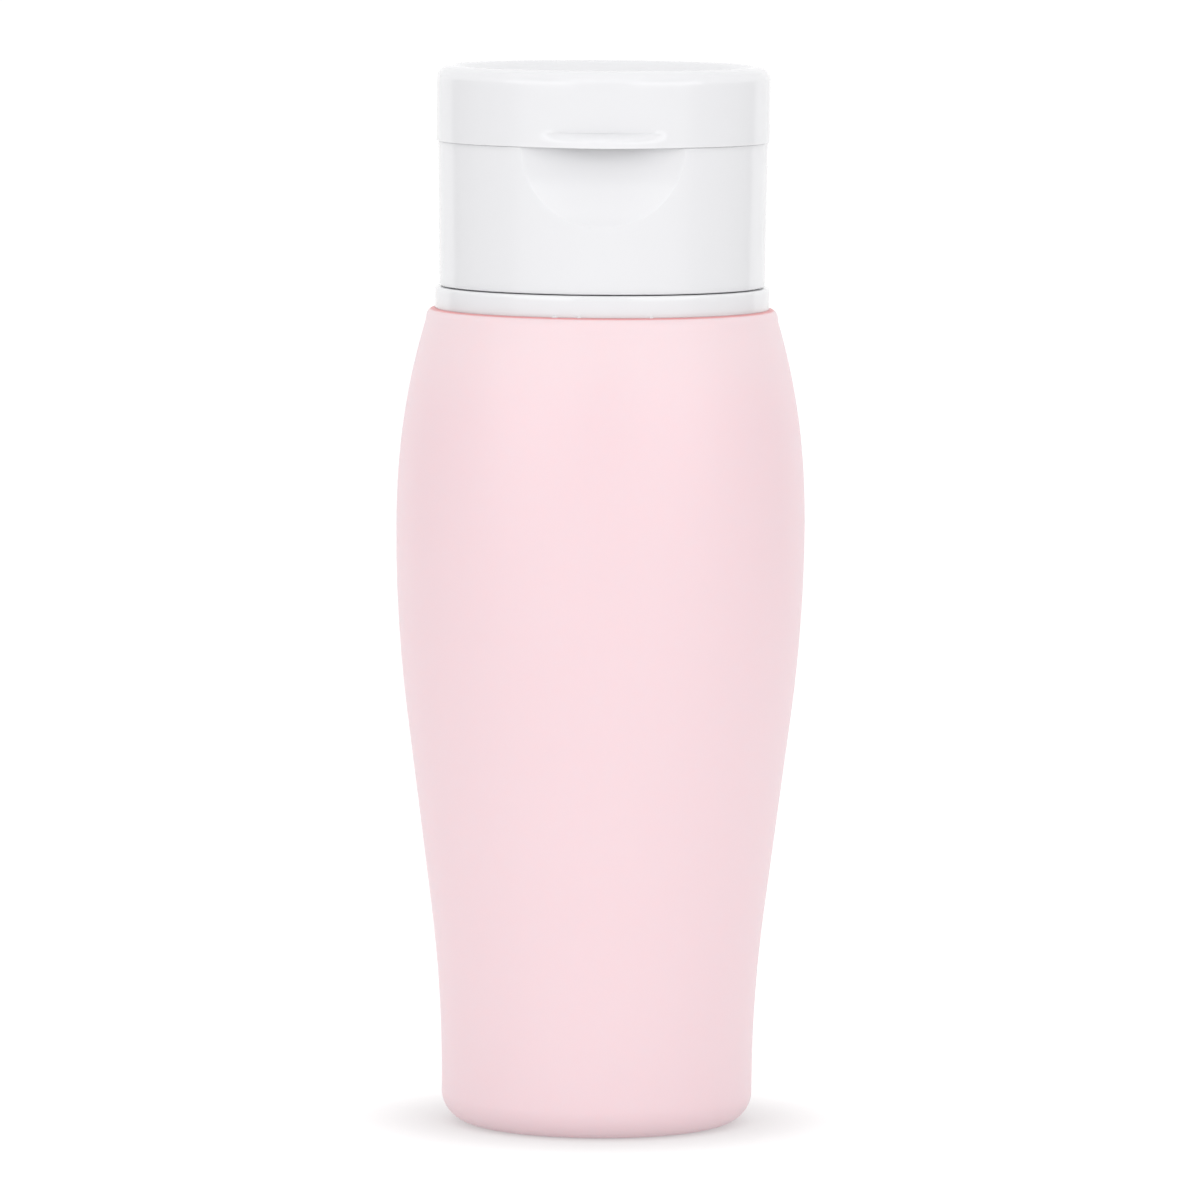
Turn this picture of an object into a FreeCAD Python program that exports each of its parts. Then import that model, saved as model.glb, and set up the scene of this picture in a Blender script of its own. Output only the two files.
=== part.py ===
import FreeCAD, Part
import os
import re
import Sketcher

# Travel squeeze bottle: a soft silicone body with a hard neck fitting, a screw cap with a slit valve,
# and a flip lid on a pin hinge. Millimetres, +Z up, origin at the centre of the base.
# The front, with the thumb scoop, looks towards -Y, and the hinge is at +Y.

# Driving sizes: name, value, meaning
SIZES = (
    # Silicone body
    ("belly_radius", "22.55", "radius of the widest ring"),
    ("body_height", "90.25", "base to the top of the silicone mouth"),
    ("belly_height", "66.3", "base to the widest ring"),
    ("belly_swell", "3.33", "belly radius beyond the mouth's edge"),
    ("foot_taper", "5.35", "belly radius beyond the foot"),
    ("foot_round", "3.5", "radius of the edge between base and wall"),
    ("foot_rise", "0.4", "upright stretch of wall above the foot's rounds"),
    ("silicone_wall", "2.2", "wall of the body"),
    ("floor_thickness", "2.4", "floor of the body"),
    ("floor_round", "1.2", "inner radius between floor and wall"),
    ("stand_width", "1.9", "flat ring that the bottle stands on"),
    ("recess_depth", "0.8", "depth of the hollow under the base"),
    ("mouth_overhang", "0.8", "mouth's edge beyond the collar"),
    ("mouth_round", "0.7", "radius of the mouth's upper edge"),
    ("belly_arc_share", "0.34", "share of the flank's height that bends outwards"),
    ("waist_arc_share", "0.32", "share of the flank's height that bends inwards"),
    ("shoulder_ease_share", "0.32", "share of the shoulder's height on its gentler arc"),
    ("shoulder_drop_share", "0.09", "share of the shoulder's drop on its gentler arc"),
    # Neck fitting
    ("neck_wall", "1.8", "wall of the threaded neck"),
    ("neck_plain", "0.5", "plain neck above its thread"),
    ("collar_thickness", "2.3", "height of the collar"),
    ("collar_overhang", "0.48", "collar beyond the cap's foot"),
    ("collar_round", "0.35", "edge radius of the collar"),
    ("sleeve_length", "8", "sleeve inside the silicone mouth"),
    ("sleeve_step", "1", "sleeve radius beyond the neck"),
    ("barb_height", "0.5", "barb beyond the sleeve"),
    ("barb_rise", "1.2", "height of a barb's slope"),
    ("barb_pitch", "2.6", "distance between barbs"),
    ("seat_clearance", "0.05", "room between pieces that sit in each other"),
    # Screw thread
    ("thread_lead", "4", "rise for each turn"),
    ("thread_turns", "1.25", "turns on the neck"),
    ("cap_thread_turns", "1", "turns in the cap"),
    ("thread_depth", "0.8", "height of a ridge"),
    ("thread_root_width", "1.7", "ridge width at its foot"),
    ("thread_crest_width", "0.8", "ridge width at its crest"),
    ("thread_bite", "0.3", "ridge sunk into its own wall"),
    ("thread_clearance", "0.4", "crest to the other piece's wall"),
    ("thread_slack", "0.3", "room between the flanks along the axis"),
    ("thread_rise", "0.3", "cap's foot to its first ridge"),
    # Cap base
    ("cap_gap", "0.2", "collar to the cap's foot"),
    ("cap_height", "15.85", "cap's foot to the lid seam"),
    ("cap_wall", "2.34", "skirt wall at the foot"),
    ("cap_flare", "0.2", "growth of the cap's radius towards the seam"),
    ("cap_foot_round", "0.3", "lower edge radius of the skirt"),
    ("seam_round", "0.2", "edge radius at the lid seam"),
    ("deck_thickness", "1.6", "plate across the cap"),
    ("well_step", "1", "well above the deck, inside the skirt's bore"),
    ("spigot_wall", "1", "upright ring that centres the lid"),
    ("spigot_height", "1.2", "height of that ring above the seam"),
    ("opening_radius", "5", "pouring hole in the deck"),
    ("boss_wall", "1.2", "ring under the deck that holds the valve"),
    ("snap_bead", "0.25", "bead that holds the retainer"),
    ("snap_bead_height", "0.35", "height of that bead"),
    # Thumb scoop
    ("scoop_depth", "2.36", "deepest cut, at the seam"),
    ("scoop_radius", "17.5", "radius of the scoop, across the cap"),
    # Gasket
    ("gasket_thickness", "1", "sealing washer"),
    ("gasket_inset", "0.2", "washer's hole beyond the neck's bore"),
    ("gasket_side_room", "0.3", "washer to the skirt's bore"),
    # Slit valve and its retainer
    ("valve_flange_width", "1.8", "flange beyond the pouring hole"),
    ("valve_flange_thickness", "1", "flange of the valve"),
    ("valve_dome_inset", "0.5", "dome inside the pouring hole"),
    ("valve_dome_rise", "1.15", "dome above its flange"),
    ("valve_skin", "0.7", "thickness of the dome"),
    ("slit_length", "5", "each cut of the cross"),
    ("slit_width", "0.14", "opening of the cut at rest"),
    ("retainer_thickness", "1.4", "ring under the valve"),
    ("retainer_inset", "0.2", "ring's hole inside the pouring hole"),
    # Flip lid
    ("lid_gap", "0.1", "seam between cap and lid"),
    ("lid_height", "8.25", "seam to the rim's crest"),
    ("lid_overhang", "0.21", "lid beyond the cap's upper edge"),
    ("lid_wall", "1.6", "wall of the lid"),
    ("lid_roof", "1.4", "roof of the lid"),
    ("lid_inner_round", "1", "inner radius between wall and roof"),
    ("lid_edge_round", "1.5", "outer radius of the raised rim"),
    ("dish_depth", "1.2", "dish below the rim's crest"),
    ("dish_slope", "2.6", "width of the slope from crest to dish"),
    ("plug_radius", "3.2", "ring that closes the valve"),
    ("plug_wall", "1", "wall of that ring"),
    ("plug_clearance", "0.1", "ring to the valve's dome"),
    ("lip_half_width", "7.07", "thumb lip to each side"),
    ("lip_reach", "1.2", "thumb lip beyond the lid"),
    ("lip_height", "1.5", "thumb lip above the seam"),
    ("lip_bevel", "0.5", "bevel of the lip's upper edge"),
    # Hinge
    ("hinge_offset", "0.15", "pin axis behind the lid's wall"),
    ("barrel_radius", "1.4", "hinge barrel"),
    ("ear_length", "3", "each outer knuckle"),
    ("knuckle_half", "2.3", "half the lid's knuckle"),
    ("knuckle_side_room", "0.3", "between knuckles along the pin"),
    ("barrel_room", "0.3", "round a knuckle in the other piece"),
    ("gusset_drop", "3.8", "height of the web under an ear"),
    ("lid_web_rise", "3", "height of the web above the lid's knuckle"),
    ("pin_radius", "0.6", "hinge pin"),
    ("pin_seat_room", "0.02", "pin to its outer knuckles"),
    ("pin_run_room", "0.05", "pin to the lid's knuckle"),
    ("pin_end_round", "0.15", "bevel of the pin's ends"),
    # Cutting
    ("cut_overrun", "1", "cuts run past the wall by this"),
)

# Levels, radii and arcs that follow from the driving sizes, each from those above it
PLACES = (
    # Radii inwards from the belly, then outwards from the cap
    ("foot_radius", "belly_radius - foot_taper"),
    ("mouth_radius", "belly_radius - belly_swell"),
    ("collar_radius", "mouth_radius - mouth_overhang"),
    ("cap_foot_radius", "collar_radius - collar_overhang"),
    ("skirt_bore", "cap_foot_radius - cap_wall"),
    ("cap_crest", "skirt_bore - thread_depth"),
    ("neck_crest", "skirt_bore - thread_clearance"),
    ("neck_root", "neck_crest - thread_depth"),
    ("neck_bore", "neck_root - neck_wall"),
    ("sleeve_radius", "neck_root + sleeve_step"),
    ("mouth_bore", "sleeve_radius + seat_clearance"),
    ("cap_top_radius", "cap_foot_radius + cap_flare"),
    ("lid_radius", "cap_top_radius + lid_overhang"),
    ("lid_inner_radius", "lid_radius - lid_wall"),
    ("recess_radius", "foot_radius - foot_round - stand_width - recess_depth"),
    ("well_radius", "skirt_bore - well_step"),
    ("spigot_radius", "well_radius + spigot_wall"),
    # Levels upwards from the base
    ("waist_height", "max(foot_round; floor_thickness + floor_round) + foot_rise"),
    ("mouth_edge_height", "body_height - mouth_round"),
    ("sleeve_foot", "body_height - sleeve_length"),
    ("collar_top", "body_height + collar_thickness"),
    ("cap_foot", "collar_top + cap_gap"),
    ("cap_thread_height", "cap_foot + thread_rise + thread_root_width / 2"),
    ("neck_thread_height",
     "cap_thread_height + (thread_root_width + thread_crest_width) / 2 + thread_slack"),
    ("neck_top", "neck_thread_height + thread_lead * thread_turns + thread_root_width / 2 + neck_plain"),
    ("gasket_foot", "neck_top + seat_clearance"),
    ("gasket_top", "gasket_foot + gasket_thickness"),
    ("deck_under", "gasket_top + seat_clearance"),
    ("deck_top", "deck_under + deck_thickness"),
    ("cap_top", "cap_foot + cap_height"),
    ("lid_foot", "cap_top + lid_gap"),
    ("lid_crest", "lid_foot + lid_height"),
    ("dish_floor", "lid_crest - dish_depth"),
    ("roof_under", "dish_floor - lid_roof"),
    # Flank: an arc in at the waist, a straight run and an arc out at the belly, all tangent.
    # The half-angle tangent of the run's slant is found by two rounds of substitution.
    ("flank_height", "belly_height - waist_height"),
    ("belly_arc_height", "flank_height * belly_arc_share"),
    ("waist_arc_height", "flank_height * waist_arc_share"),
    ("run_height", "flank_height - belly_arc_height - waist_arc_height"),
    ("slant_first", "foot_taper / (flank_height + run_height)"),
    ("slant_second", "foot_taper / (flank_height - run_height + 2 * run_height / (1 - slant_first^2))"),
    ("slant_half", "foot_taper / (flank_height - run_height + 2 * run_height / (1 - slant_second^2))"),
    ("slant_sine", "2 * slant_half / (1 + slant_half^2)"),
    ("slant_cosine", "(1 - slant_half^2) / (1 + slant_half^2)"),
    ("belly_arc_drop", "belly_arc_height * slant_half"),
    ("waist_arc_drop", "waist_arc_height * slant_half"),
    ("belly_arc_radius", "belly_arc_height / slant_sine"),
    ("waist_arc_radius", "waist_arc_height / slant_sine"),
    # Shoulder: a gentle arc above the belly, then a tighter arc tangent to it up to the mouth
    ("shoulder_height", "mouth_edge_height - belly_height"),
    ("ease_height", "shoulder_height * shoulder_ease_share"),
    ("ease_drop", "belly_swell * shoulder_drop_share"),
    ("ease_half", "ease_drop / ease_height"),
    ("ease_sine", "2 * ease_half / (1 + ease_half^2)"),
    ("ease_cosine", "(1 - ease_half^2) / (1 + ease_half^2)"),
    ("ease_radius", "ease_height / ease_sine"),
    ("crown_height", "shoulder_height - ease_height"),
    ("crown_drop", "belly_swell - ease_drop"),
    ("crown_radius",
     "(crown_height^2 + crown_drop^2) / (2 * (crown_drop * ease_cosine - crown_height * ease_sine))"),
    # Valve
    ("valve_flange_radius", "opening_radius + valve_flange_width"),
    ("valve_flange_top", "deck_under - seat_clearance"),
    ("valve_flange_foot", "valve_flange_top - valve_flange_thickness"),
    ("dome_radius", "opening_radius - valve_dome_inset"),
    ("dome_arc", "(dome_radius^2 + valve_dome_rise^2) / (2 * valve_dome_rise)"),
    ("dome_top", "valve_flange_top + valve_dome_rise"),
    ("retainer_top", "valve_flange_foot - seat_clearance"),
    ("retainer_foot", "retainer_top - retainer_thickness"),
    ("retainer_hole", "opening_radius - retainer_inset"),
    ("boss_bore", "valve_flange_radius + seat_clearance"),
    ("boss_radius", "boss_bore + boss_wall"),
    ("bead_top", "retainer_foot - seat_clearance"),
    ("boss_foot", "bead_top - snap_bead_height"),
    # Lid rim, lip and plug
    ("rim_radius", "lid_radius - lid_edge_round"),
    ("dish_radius", "rim_radius - dish_slope"),
    ("dish_arc", "(dish_slope^2 + dish_depth^2) / (4 * dish_depth)"),
    ("lip_chord", "sqrt(lid_radius^2 - lip_half_width^2)"),
    ("lip_sagitta", "lid_radius + lip_reach - lip_chord"),
    ("lip_radius", "(lip_half_width^2 + lip_sagitta^2) / (2 * lip_sagitta)"),
    ("lip_centre", "lid_radius + lip_reach - lip_radius"),
    ("plug_foot", "dome_top + plug_clearance"),
    # Hinge
    ("hinge_reach", "lid_radius + hinge_offset"),
    ("hinge_height", "cap_top + lid_gap / 2"),
    ("barrel_half", "knuckle_half + knuckle_side_room + ear_length"),
)

doc = FreeCAD.newDocument("travel_squeeze_bottle")


def fill_sheet(name, rows):
    """Makes a sheet with one aliased cell for each row of names, contents and words."""
    sheet = doc.addObject("Spreadsheet::Sheet", name)
    for number, (alias, content, words) in enumerate(rows, 1):
        sheet.set(f"A{number}", words)
        sheet.set(f"B{number}", content)
        sheet.setAlias(f"B{number}", alias)
    return sheet


home = {alias: f"sizes.{alias}" for alias, _, _ in SIZES}
home.update({alias: f"places.{alias}" for alias, _ in PLACES})


def bound(text):
    """The expression with every alias led back to the sheet that holds it."""
    return re.sub(r"[a-z]\w*", lambda word: home.get(word.group(), word.group()), text)


sizes = fill_sheet("sizes", SIZES)
doc.recompute()
places = fill_sheet("places", [(alias, "=" + bound(text), alias.replace("_", " ")) for alias, text in PLACES])
doc.recompute()


def value(text):
    """The number that an expression in the sheets' names stands for now."""
    return float(places.evalExpression(bound(text)))


def arc_between(start, end, radius, turn):
    """The short arc from start to end, turning left or right, as a sketch arc."""
    chord = end - start
    half = chord.Length / 2
    left = FreeCAD.Vector(-chord.y, chord.x, 0).normalize()
    side = left if turn == "left" else -left
    centre = start + chord / 2 + side * max(radius ** 2 - half ** 2, 0) ** 0.5
    first, last = (start, end) if turn == "left" else (end, start)
    circle = Part.Circle(centre, FreeCAD.Vector(0, 0, 1), radius)
    return Part.ArcOfCircle(circle, circle.parameter(first), circle.parameter(last))


def place_point(sketch, geometry, vertex, across, along):
    """Ties one point of a sketch to the sheets, or to an axis where its distance is zero."""
    for kind, axis, text in (("DistanceX", -2, across), ("DistanceY", -1, along)):
        if text == "0":
            sketch.addConstraint(Sketcher.Constraint("PointOnObject", geometry, vertex, axis))
            continue
        tie = sketch.addConstraint(Sketcher.Constraint(kind, -1, 1, geometry, vertex, value(text)))
        sketch.setExpression(f"Constraints[{tie}]", bound(text))


def new_sketch(body, name, plane):
    """An empty sketch on one of the body's own origin planes."""
    sketch = body.newObject("Sketcher::SketchObject", name)
    support = next(item for item in body.Origin.OriginFeatures if item.Role == plane)
    sketch.AttachmentSupport = [(support, "")]
    sketch.MapMode = "FlatFace"
    return sketch


def outline(body, name, plane, corners):
    """A closed outline. A corner is (across, along), reached by a straight line,
    or (across, along, radius, turn), reached by an arc."""
    sketch = new_sketch(body, name, plane)
    points = [FreeCAD.Vector(value(corner[0]), value(corner[1]), 0) for corner in corners]
    ends = []
    for number, corner in enumerate(corners):
        start, end = points[number - 1], points[number]
        if len(corner) == 2:
            sketch.addGeometry(Part.LineSegment(start, end), False)
            ends.append((1, 2))
        else:
            sketch.addGeometry(arc_between(start, end, value(corner[2]), corner[3]), False)
            ends.append((1, 2) if corner[3] == "left" else (2, 1))
    for number, corner in enumerate(corners):
        following = (number + 1) % len(corners)
        joint = (number, ends[number][1], following, ends[following][0])
        sketch.addConstraint(Sketcher.Constraint("Coincident", *joint))
        place_point(sketch, number, ends[number][1], corner[0], corner[1])
        if len(corner) == 4:
            tie = sketch.addConstraint(Sketcher.Constraint("Radius", number, value(corner[2])))
            sketch.setExpression(f"Constraints[{tie}]", bound(corner[2]))
    return sketch


def ring(body, name, plane, across, along, radius):
    """A circle whose centre and radius follow the sheets."""
    sketch = new_sketch(body, name, plane)
    centre = FreeCAD.Vector(value(across), value(along), 0)
    sketch.addGeometry(Part.Circle(centre, FreeCAD.Vector(0, 0, 1), value(radius)), False)
    place_point(sketch, 0, 3, across, along)
    tie = sketch.addConstraint(Sketcher.Constraint("Radius", 0, value(radius)))
    sketch.setExpression(f"Constraints[{tie}]", bound(radius))
    return sketch


def new_body(label):
    body = doc.addObject("PartDesign::Body", label)
    body.Label = label
    return body


def turned(body, name, corners, kind="PartDesign::Revolution"):
    """A full turn of an outline in the XZ plane about the bottle's axis."""
    sketch = outline(body, f"{name}_outline", "XZ_Plane", corners)
    feature = body.newObject(kind, name)
    feature.Profile = sketch
    feature.ReferenceAxis = (sketch, ["V_Axis"])
    feature.Angle = 360
    sketch.Visibility = False
    return feature


def across_bottle(body, name, kind, sketch, length):
    """A pad or pocket to both sides of the sketch, of the given whole length along X or Z."""
    feature = body.newObject(kind, name)
    feature.Profile = sketch
    feature.SideType = "Symmetric"
    feature.setExpression("Length", bound(length))
    sketch.Visibility = False
    return feature


def screw_ridge(body, name, foot, crest, height, turns):
    """One right-hand thread ridge, from its foot radius to its crest radius."""
    root = "thread_root_width / 2"
    tip = "thread_crest_width / 2"
    corners = [(foot, f"{height} - {root}"), (crest, f"{height} - {tip}"),
               (crest, f"{height} + {tip}"), (foot, f"{height} + {root}")]
    sketch = outline(body, f"{name}_outline", "XZ_Plane", corners)
    feature = body.newObject("PartDesign::AdditiveHelix", name)
    feature.Profile = sketch
    feature.ReferenceAxis = (sketch, ["V_Axis"])
    feature.Mode = "pitch-turns-angle"
    feature.setExpression("Pitch", bound("thread_lead"))
    feature.setExpression("Turns", bound(turns))
    feature.LeftHanded = False
    sketch.Visibility = False
    return feature


def barb_corners(radius):
    """The sleeve's two barbs upwards along the given radius: each a slope and a flat step."""
    corners = []
    for step in ("barb_pitch / 2", "barb_pitch * 3 / 2"):
        corners += [(radius, f"sleeve_foot + {step}"),
                    (f"{radius} + barb_height", f"sleeve_foot + {step} + barb_rise"),
                    (radius, f"sleeve_foot + {step} + barb_rise")]
    return corners


def make_bottle_body():
    """Soft blow-moulded shape in one thick skin, open at the mouth."""
    body = new_body("bottle_body")
    wall = "silicone_wall"
    foot_inside = f"foot_radius - {wall}"
    floor_edge = "floor_thickness + floor_round"
    run_foot = ("foot_radius + waist_arc_drop", "waist_height + waist_arc_height")
    run_top = ("belly_radius - belly_arc_drop", "belly_height - belly_arc_height")
    ease_top = ("belly_radius - ease_drop", "belly_height + ease_height")
    slant = (f"{wall} * slant_cosine", f"{wall} * slant_sine")
    ease = (f"{wall} * ease_cosine", f"{wall} * ease_sine")
    outside = [
        ("0", "recess_depth"),
        ("recess_radius", "recess_depth"),
        ("recess_radius + recess_depth", "0"),
        ("foot_radius - foot_round", "0"),
        ("foot_radius", "foot_round", "foot_round", "left"),
        ("foot_radius", "waist_height"),
        (*run_foot, "waist_arc_radius", "right"),
        run_top,
        ("belly_radius", "belly_height", "belly_arc_radius", "left"),
        (*ease_top, "ease_radius", "left"),
        ("mouth_radius", "mouth_edge_height", "crown_radius", "left"),
        ("mouth_radius - mouth_round", "body_height", "mouth_round", "left"),
        ("mouth_bore", "body_height"),
    ]
    inside = [
        ("mouth_bore", "sleeve_foot"),
        (f"{ease_top[0]} - {ease[0]}", f"{ease_top[1]} - {ease[1]}"),
        (f"belly_radius - {wall}", "belly_height", f"ease_radius - {wall}", "right"),
        (f"{run_top[0]} - {slant[0]}", f"{run_top[1]} + {slant[1]}", f"belly_arc_radius - {wall}", "right"),
        (f"{run_foot[0]} - {slant[0]}", f"{run_foot[1]} + {slant[1]}"),
        (foot_inside, "waist_height", f"waist_arc_radius + {wall}", "left"),
        (foot_inside, floor_edge),
        (f"{foot_inside} - floor_round", "floor_thickness", "floor_round", "right"),
        ("0", "floor_thickness"),
    ]
    grooves = list(reversed(barb_corners("mouth_bore")))
    turned(body, "silicone_skin", outside + grooves + inside)
    return body


def make_neck_fitting():
    """Hard insert: barbed sleeve in the mouth, collar on its rim, threaded neck above."""
    body = new_body("neck_fitting")
    corners = [
        ("neck_bore", "sleeve_foot"),
        ("sleeve_radius", "sleeve_foot"),
        *barb_corners("sleeve_radius"),
        ("sleeve_radius", "body_height"),
        ("collar_radius - collar_round", "body_height"),
        ("collar_radius", "body_height + collar_round", "collar_round", "left"),
        ("collar_radius", "collar_top - collar_round"),
        ("collar_radius - collar_round", "collar_top", "collar_round", "left"),
        ("neck_root", "collar_top"),
        ("neck_root", "neck_top"),
        ("neck_bore", "neck_top"),
    ]
    turned(body, "sleeve_collar_and_neck", corners)
    screw_ridge(body, "neck_thread", "neck_root - thread_bite", "neck_crest", "neck_thread_height",
                "thread_turns")
    return body


def make_cap_gasket():
    """Flat silicone washer between the neck's rim and the cap's deck."""
    body = new_body("cap_gasket")
    hole = "neck_bore + gasket_inset"
    edge = "skirt_bore - gasket_side_room"
    turned(body, "washer", [(hole, "gasket_foot"), (edge, "gasket_foot"), (edge, "gasket_top"),
                            (hole, "gasket_top")])
    return body


def make_cap_base():
    """Screw cap: skirt with thread, deck with pouring hole, valve boss, thumb scoop and hinge ears."""
    body = new_body("cap_base")
    corners = [
        ("skirt_bore", "cap_foot"),
        ("cap_foot_radius - cap_foot_round", "cap_foot"),
        ("cap_foot_radius", "cap_foot + cap_foot_round", "cap_foot_round", "left"),
        ("cap_top_radius", "cap_top - seam_round"),
        ("cap_top_radius - seam_round", "cap_top", "seam_round", "left"),
        ("spigot_radius", "cap_top"),
        ("spigot_radius", "cap_top + spigot_height"),
        ("well_radius", "cap_top + spigot_height"),
        ("well_radius", "deck_top"),
        ("opening_radius", "deck_top"),
        ("opening_radius", "deck_under"),
        ("boss_bore", "deck_under"),
        ("boss_bore", "bead_top"),
        ("boss_bore - snap_bead", "bead_top"),
        ("boss_bore - snap_bead", "boss_foot"),
        ("boss_radius", "boss_foot"),
        ("boss_radius", "deck_under"),
        ("skirt_bore", "deck_under"),
    ]
    turned(body, "skirt_and_deck", corners)
    screw_ridge(body, "cap_thread", "skirt_bore + thread_bite", "cap_crest", "cap_thread_height",
                "cap_thread_turns")
    scoop = ring(body, "scoop_circle", "YZ_Plane", "-(cap_top_radius - scoop_depth + scoop_radius)",
                 "hinge_height", "scoop_radius")
    across_bottle(body, "thumb_scoop", "PartDesign::Pocket", scoop, "2 * (cap_top_radius + cut_overrun)")
    for side, sign in (("left", "-"), ("right", "")):
        middle = f"{sign}(knuckle_half + knuckle_side_room + ear_length / 2)"
        barrel = ring(body, f"{side}_barrel_circle", "YZ_Plane", "hinge_reach", "hinge_height", "barrel_radius")
        barrel.setExpression("AttachmentOffset.Base.z", bound(middle))
        across_bottle(body, f"{side}_ear", "PartDesign::Pad", barrel, "ear_length")
        web = outline(body, f"{side}_gusset_outline", "YZ_Plane", [
            ("spigot_radius", "cap_top"),
            ("spigot_radius", "hinge_height - gusset_drop"),
            ("cap_foot_radius", "hinge_height - gusset_drop"),
            ("hinge_reach + barrel_radius", "hinge_height"),
            ("hinge_reach", "hinge_height"),
        ])
        web.setExpression("AttachmentOffset.Base.z", bound(middle))
        across_bottle(body, f"{side}_gusset", "PartDesign::Pad", web, "ear_length")
    room = ring(body, "knuckle_room_circle", "YZ_Plane", "hinge_reach", "hinge_height",
                "barrel_radius + barrel_room")
    across_bottle(body, "knuckle_room", "PartDesign::Pocket", room, "2 * (knuckle_half + knuckle_side_room)")
    hole = ring(body, "pin_hole_circle", "YZ_Plane", "hinge_reach", "hinge_height",
                "pin_radius + pin_seat_room")
    across_bottle(body, "pin_hole", "PartDesign::Pocket", hole, "2 * (barrel_half + cut_overrun)")
    return body


def make_slit_valve():
    """Thin silicone dome with a cross cut, on a flange clamped under the deck."""
    body = new_body("slit_valve")
    hollow = "dome_radius - valve_skin"
    turned(body, "dome_and_flange", [
        ("valve_flange_radius", "valve_flange_foot"),
        ("valve_flange_radius", "valve_flange_top"),
        ("dome_radius", "valve_flange_top"),
        ("0", "dome_top", "dome_arc", "left"),
        ("0", "dome_top - valve_skin"),
        (hollow, "valve_flange_foot", "dome_arc", "right"),
    ])
    arm = "slit_length / 2"
    half = "slit_width / 2"
    cross = outline(body, "cross_outline", "XY_Plane", [
        (arm, half), (half, half), (half, arm), (f"-({half})", arm), (f"-({half})", half), (f"-({arm})", half),
        (f"-({arm})", f"-({half})"), (f"-({half})", f"-({half})"), (f"-({half})", f"-({arm})"),
        (half, f"-({arm})"), (half, f"-({half})"), (arm, f"-({half})")])
    across_bottle(body, "cross_cut", "PartDesign::Pocket", cross, "2 * (dome_top + cut_overrun)")
    return body


def make_valve_retainer():
    """Ring that snaps into the boss and clamps the valve's flange."""
    body = new_body("valve_retainer")
    turned(body, "snap_ring", [("retainer_hole", "retainer_foot"), ("valve_flange_radius", "retainer_foot"),
                               ("valve_flange_radius", "retainer_top"), ("retainer_hole", "retainer_top")])
    return body


def make_flip_lid():
    """Hollow lid with a raised rim round a shallow dish, a thumb lip, a plug and the middle knuckle."""
    body = new_body("flip_lid")
    turned(body, "lid_puck", [
        ("0", "lid_foot"),
        ("lid_radius - seam_round", "lid_foot"),
        ("lid_radius", "lid_foot + seam_round", "seam_round", "left"),
        ("lid_radius", "lid_crest - lid_edge_round"),
        ("rim_radius", "lid_crest", "lid_edge_round", "left"),
        ("rim_radius - dish_slope / 2", "lid_crest - dish_depth / 2", "dish_arc", "left"),
        ("dish_radius", "dish_floor", "dish_arc", "right"),
        ("0", "dish_floor"),
    ])
    lip = body.newObject("PartDesign::AdditiveCylinder", "thumb_lip")
    lip.setExpression("Radius", bound("lip_radius"))
    lip.setExpression("Height", bound("lip_height - lip_bevel"))
    lip.setExpression("Placement.Base.y", bound("-lip_centre"))
    lip.setExpression("Placement.Base.z", bound("lid_foot"))
    edge = body.newObject("PartDesign::AdditiveCone", "thumb_lip_edge")
    edge.setExpression("Radius1", bound("lip_radius"))
    edge.setExpression("Radius2", bound("lip_radius - lip_bevel"))
    edge.setExpression("Height", bound("lip_bevel"))
    edge.setExpression("Placement.Base.y", bound("-lip_centre"))
    edge.setExpression("Placement.Base.z", bound("lid_foot + lip_height - lip_bevel"))
    turned(body, "lid_hollow", [
        ("0", "lid_foot - cut_overrun"),
        ("lid_inner_radius", "lid_foot - cut_overrun"),
        ("lid_inner_radius", "roof_under - lid_inner_round"),
        ("lid_inner_radius - lid_inner_round", "roof_under", "lid_inner_round", "left"),
        ("0", "roof_under"),
    ], "PartDesign::Groove")
    plug_hole = "plug_radius - plug_wall"
    plug_root = "roof_under + lid_roof / 2"
    turned(body, "closing_plug", [(plug_hole, "plug_foot"), ("plug_radius", "plug_foot"),
                                  ("plug_radius", plug_root), (plug_hole, plug_root)])
    room = ring(body, "ear_room_circle", "YZ_Plane", "hinge_reach", "hinge_height",
                "barrel_radius + barrel_room")
    across_bottle(body, "ear_room", "PartDesign::Pocket", room, "2 * (barrel_half + knuckle_side_room)")
    barrel = ring(body, "knuckle_circle", "YZ_Plane", "hinge_reach", "hinge_height", "barrel_radius")
    across_bottle(body, "middle_knuckle", "PartDesign::Pad", barrel, "2 * knuckle_half")
    web = outline(body, "knuckle_web_outline", "YZ_Plane", [
        ("lid_inner_radius", "lid_foot"),
        ("hinge_reach", "lid_foot"),
        ("hinge_reach + barrel_radius", "hinge_height"),
        ("lid_radius", "hinge_height + lid_web_rise"),
        ("lid_inner_radius", "hinge_height + lid_web_rise"),
    ])
    across_bottle(body, "knuckle_web", "PartDesign::Pad", web, "2 * knuckle_half")
    hole = ring(body, "knuckle_hole_circle", "YZ_Plane", "hinge_reach", "hinge_height",
                "pin_radius + pin_run_room")
    across_bottle(body, "knuckle_hole", "PartDesign::Pocket", hole, "2 * (knuckle_half + cut_overrun)")
    return body


def make_hinge_pin():
    """Steel pin through the knuckles, with bevelled ends."""
    body = new_body("hinge_pin")
    rod = ring(body, "pin_circle", "YZ_Plane", "hinge_reach", "hinge_height", "pin_radius")
    pin = across_bottle(body, "pin_rod", "PartDesign::Pad", rod, "2 * barrel_half")
    doc.recompute()
    rims = [f"Edge{number}" for number, edge in enumerate(pin.Shape.Edges, 1) if edge.isClosed()]
    bevel = body.newObject("PartDesign::Chamfer", "pin_ends")
    bevel.Base = (pin, rims)
    bevel.setExpression("Size", bound("pin_end_round"))
    return body


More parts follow.
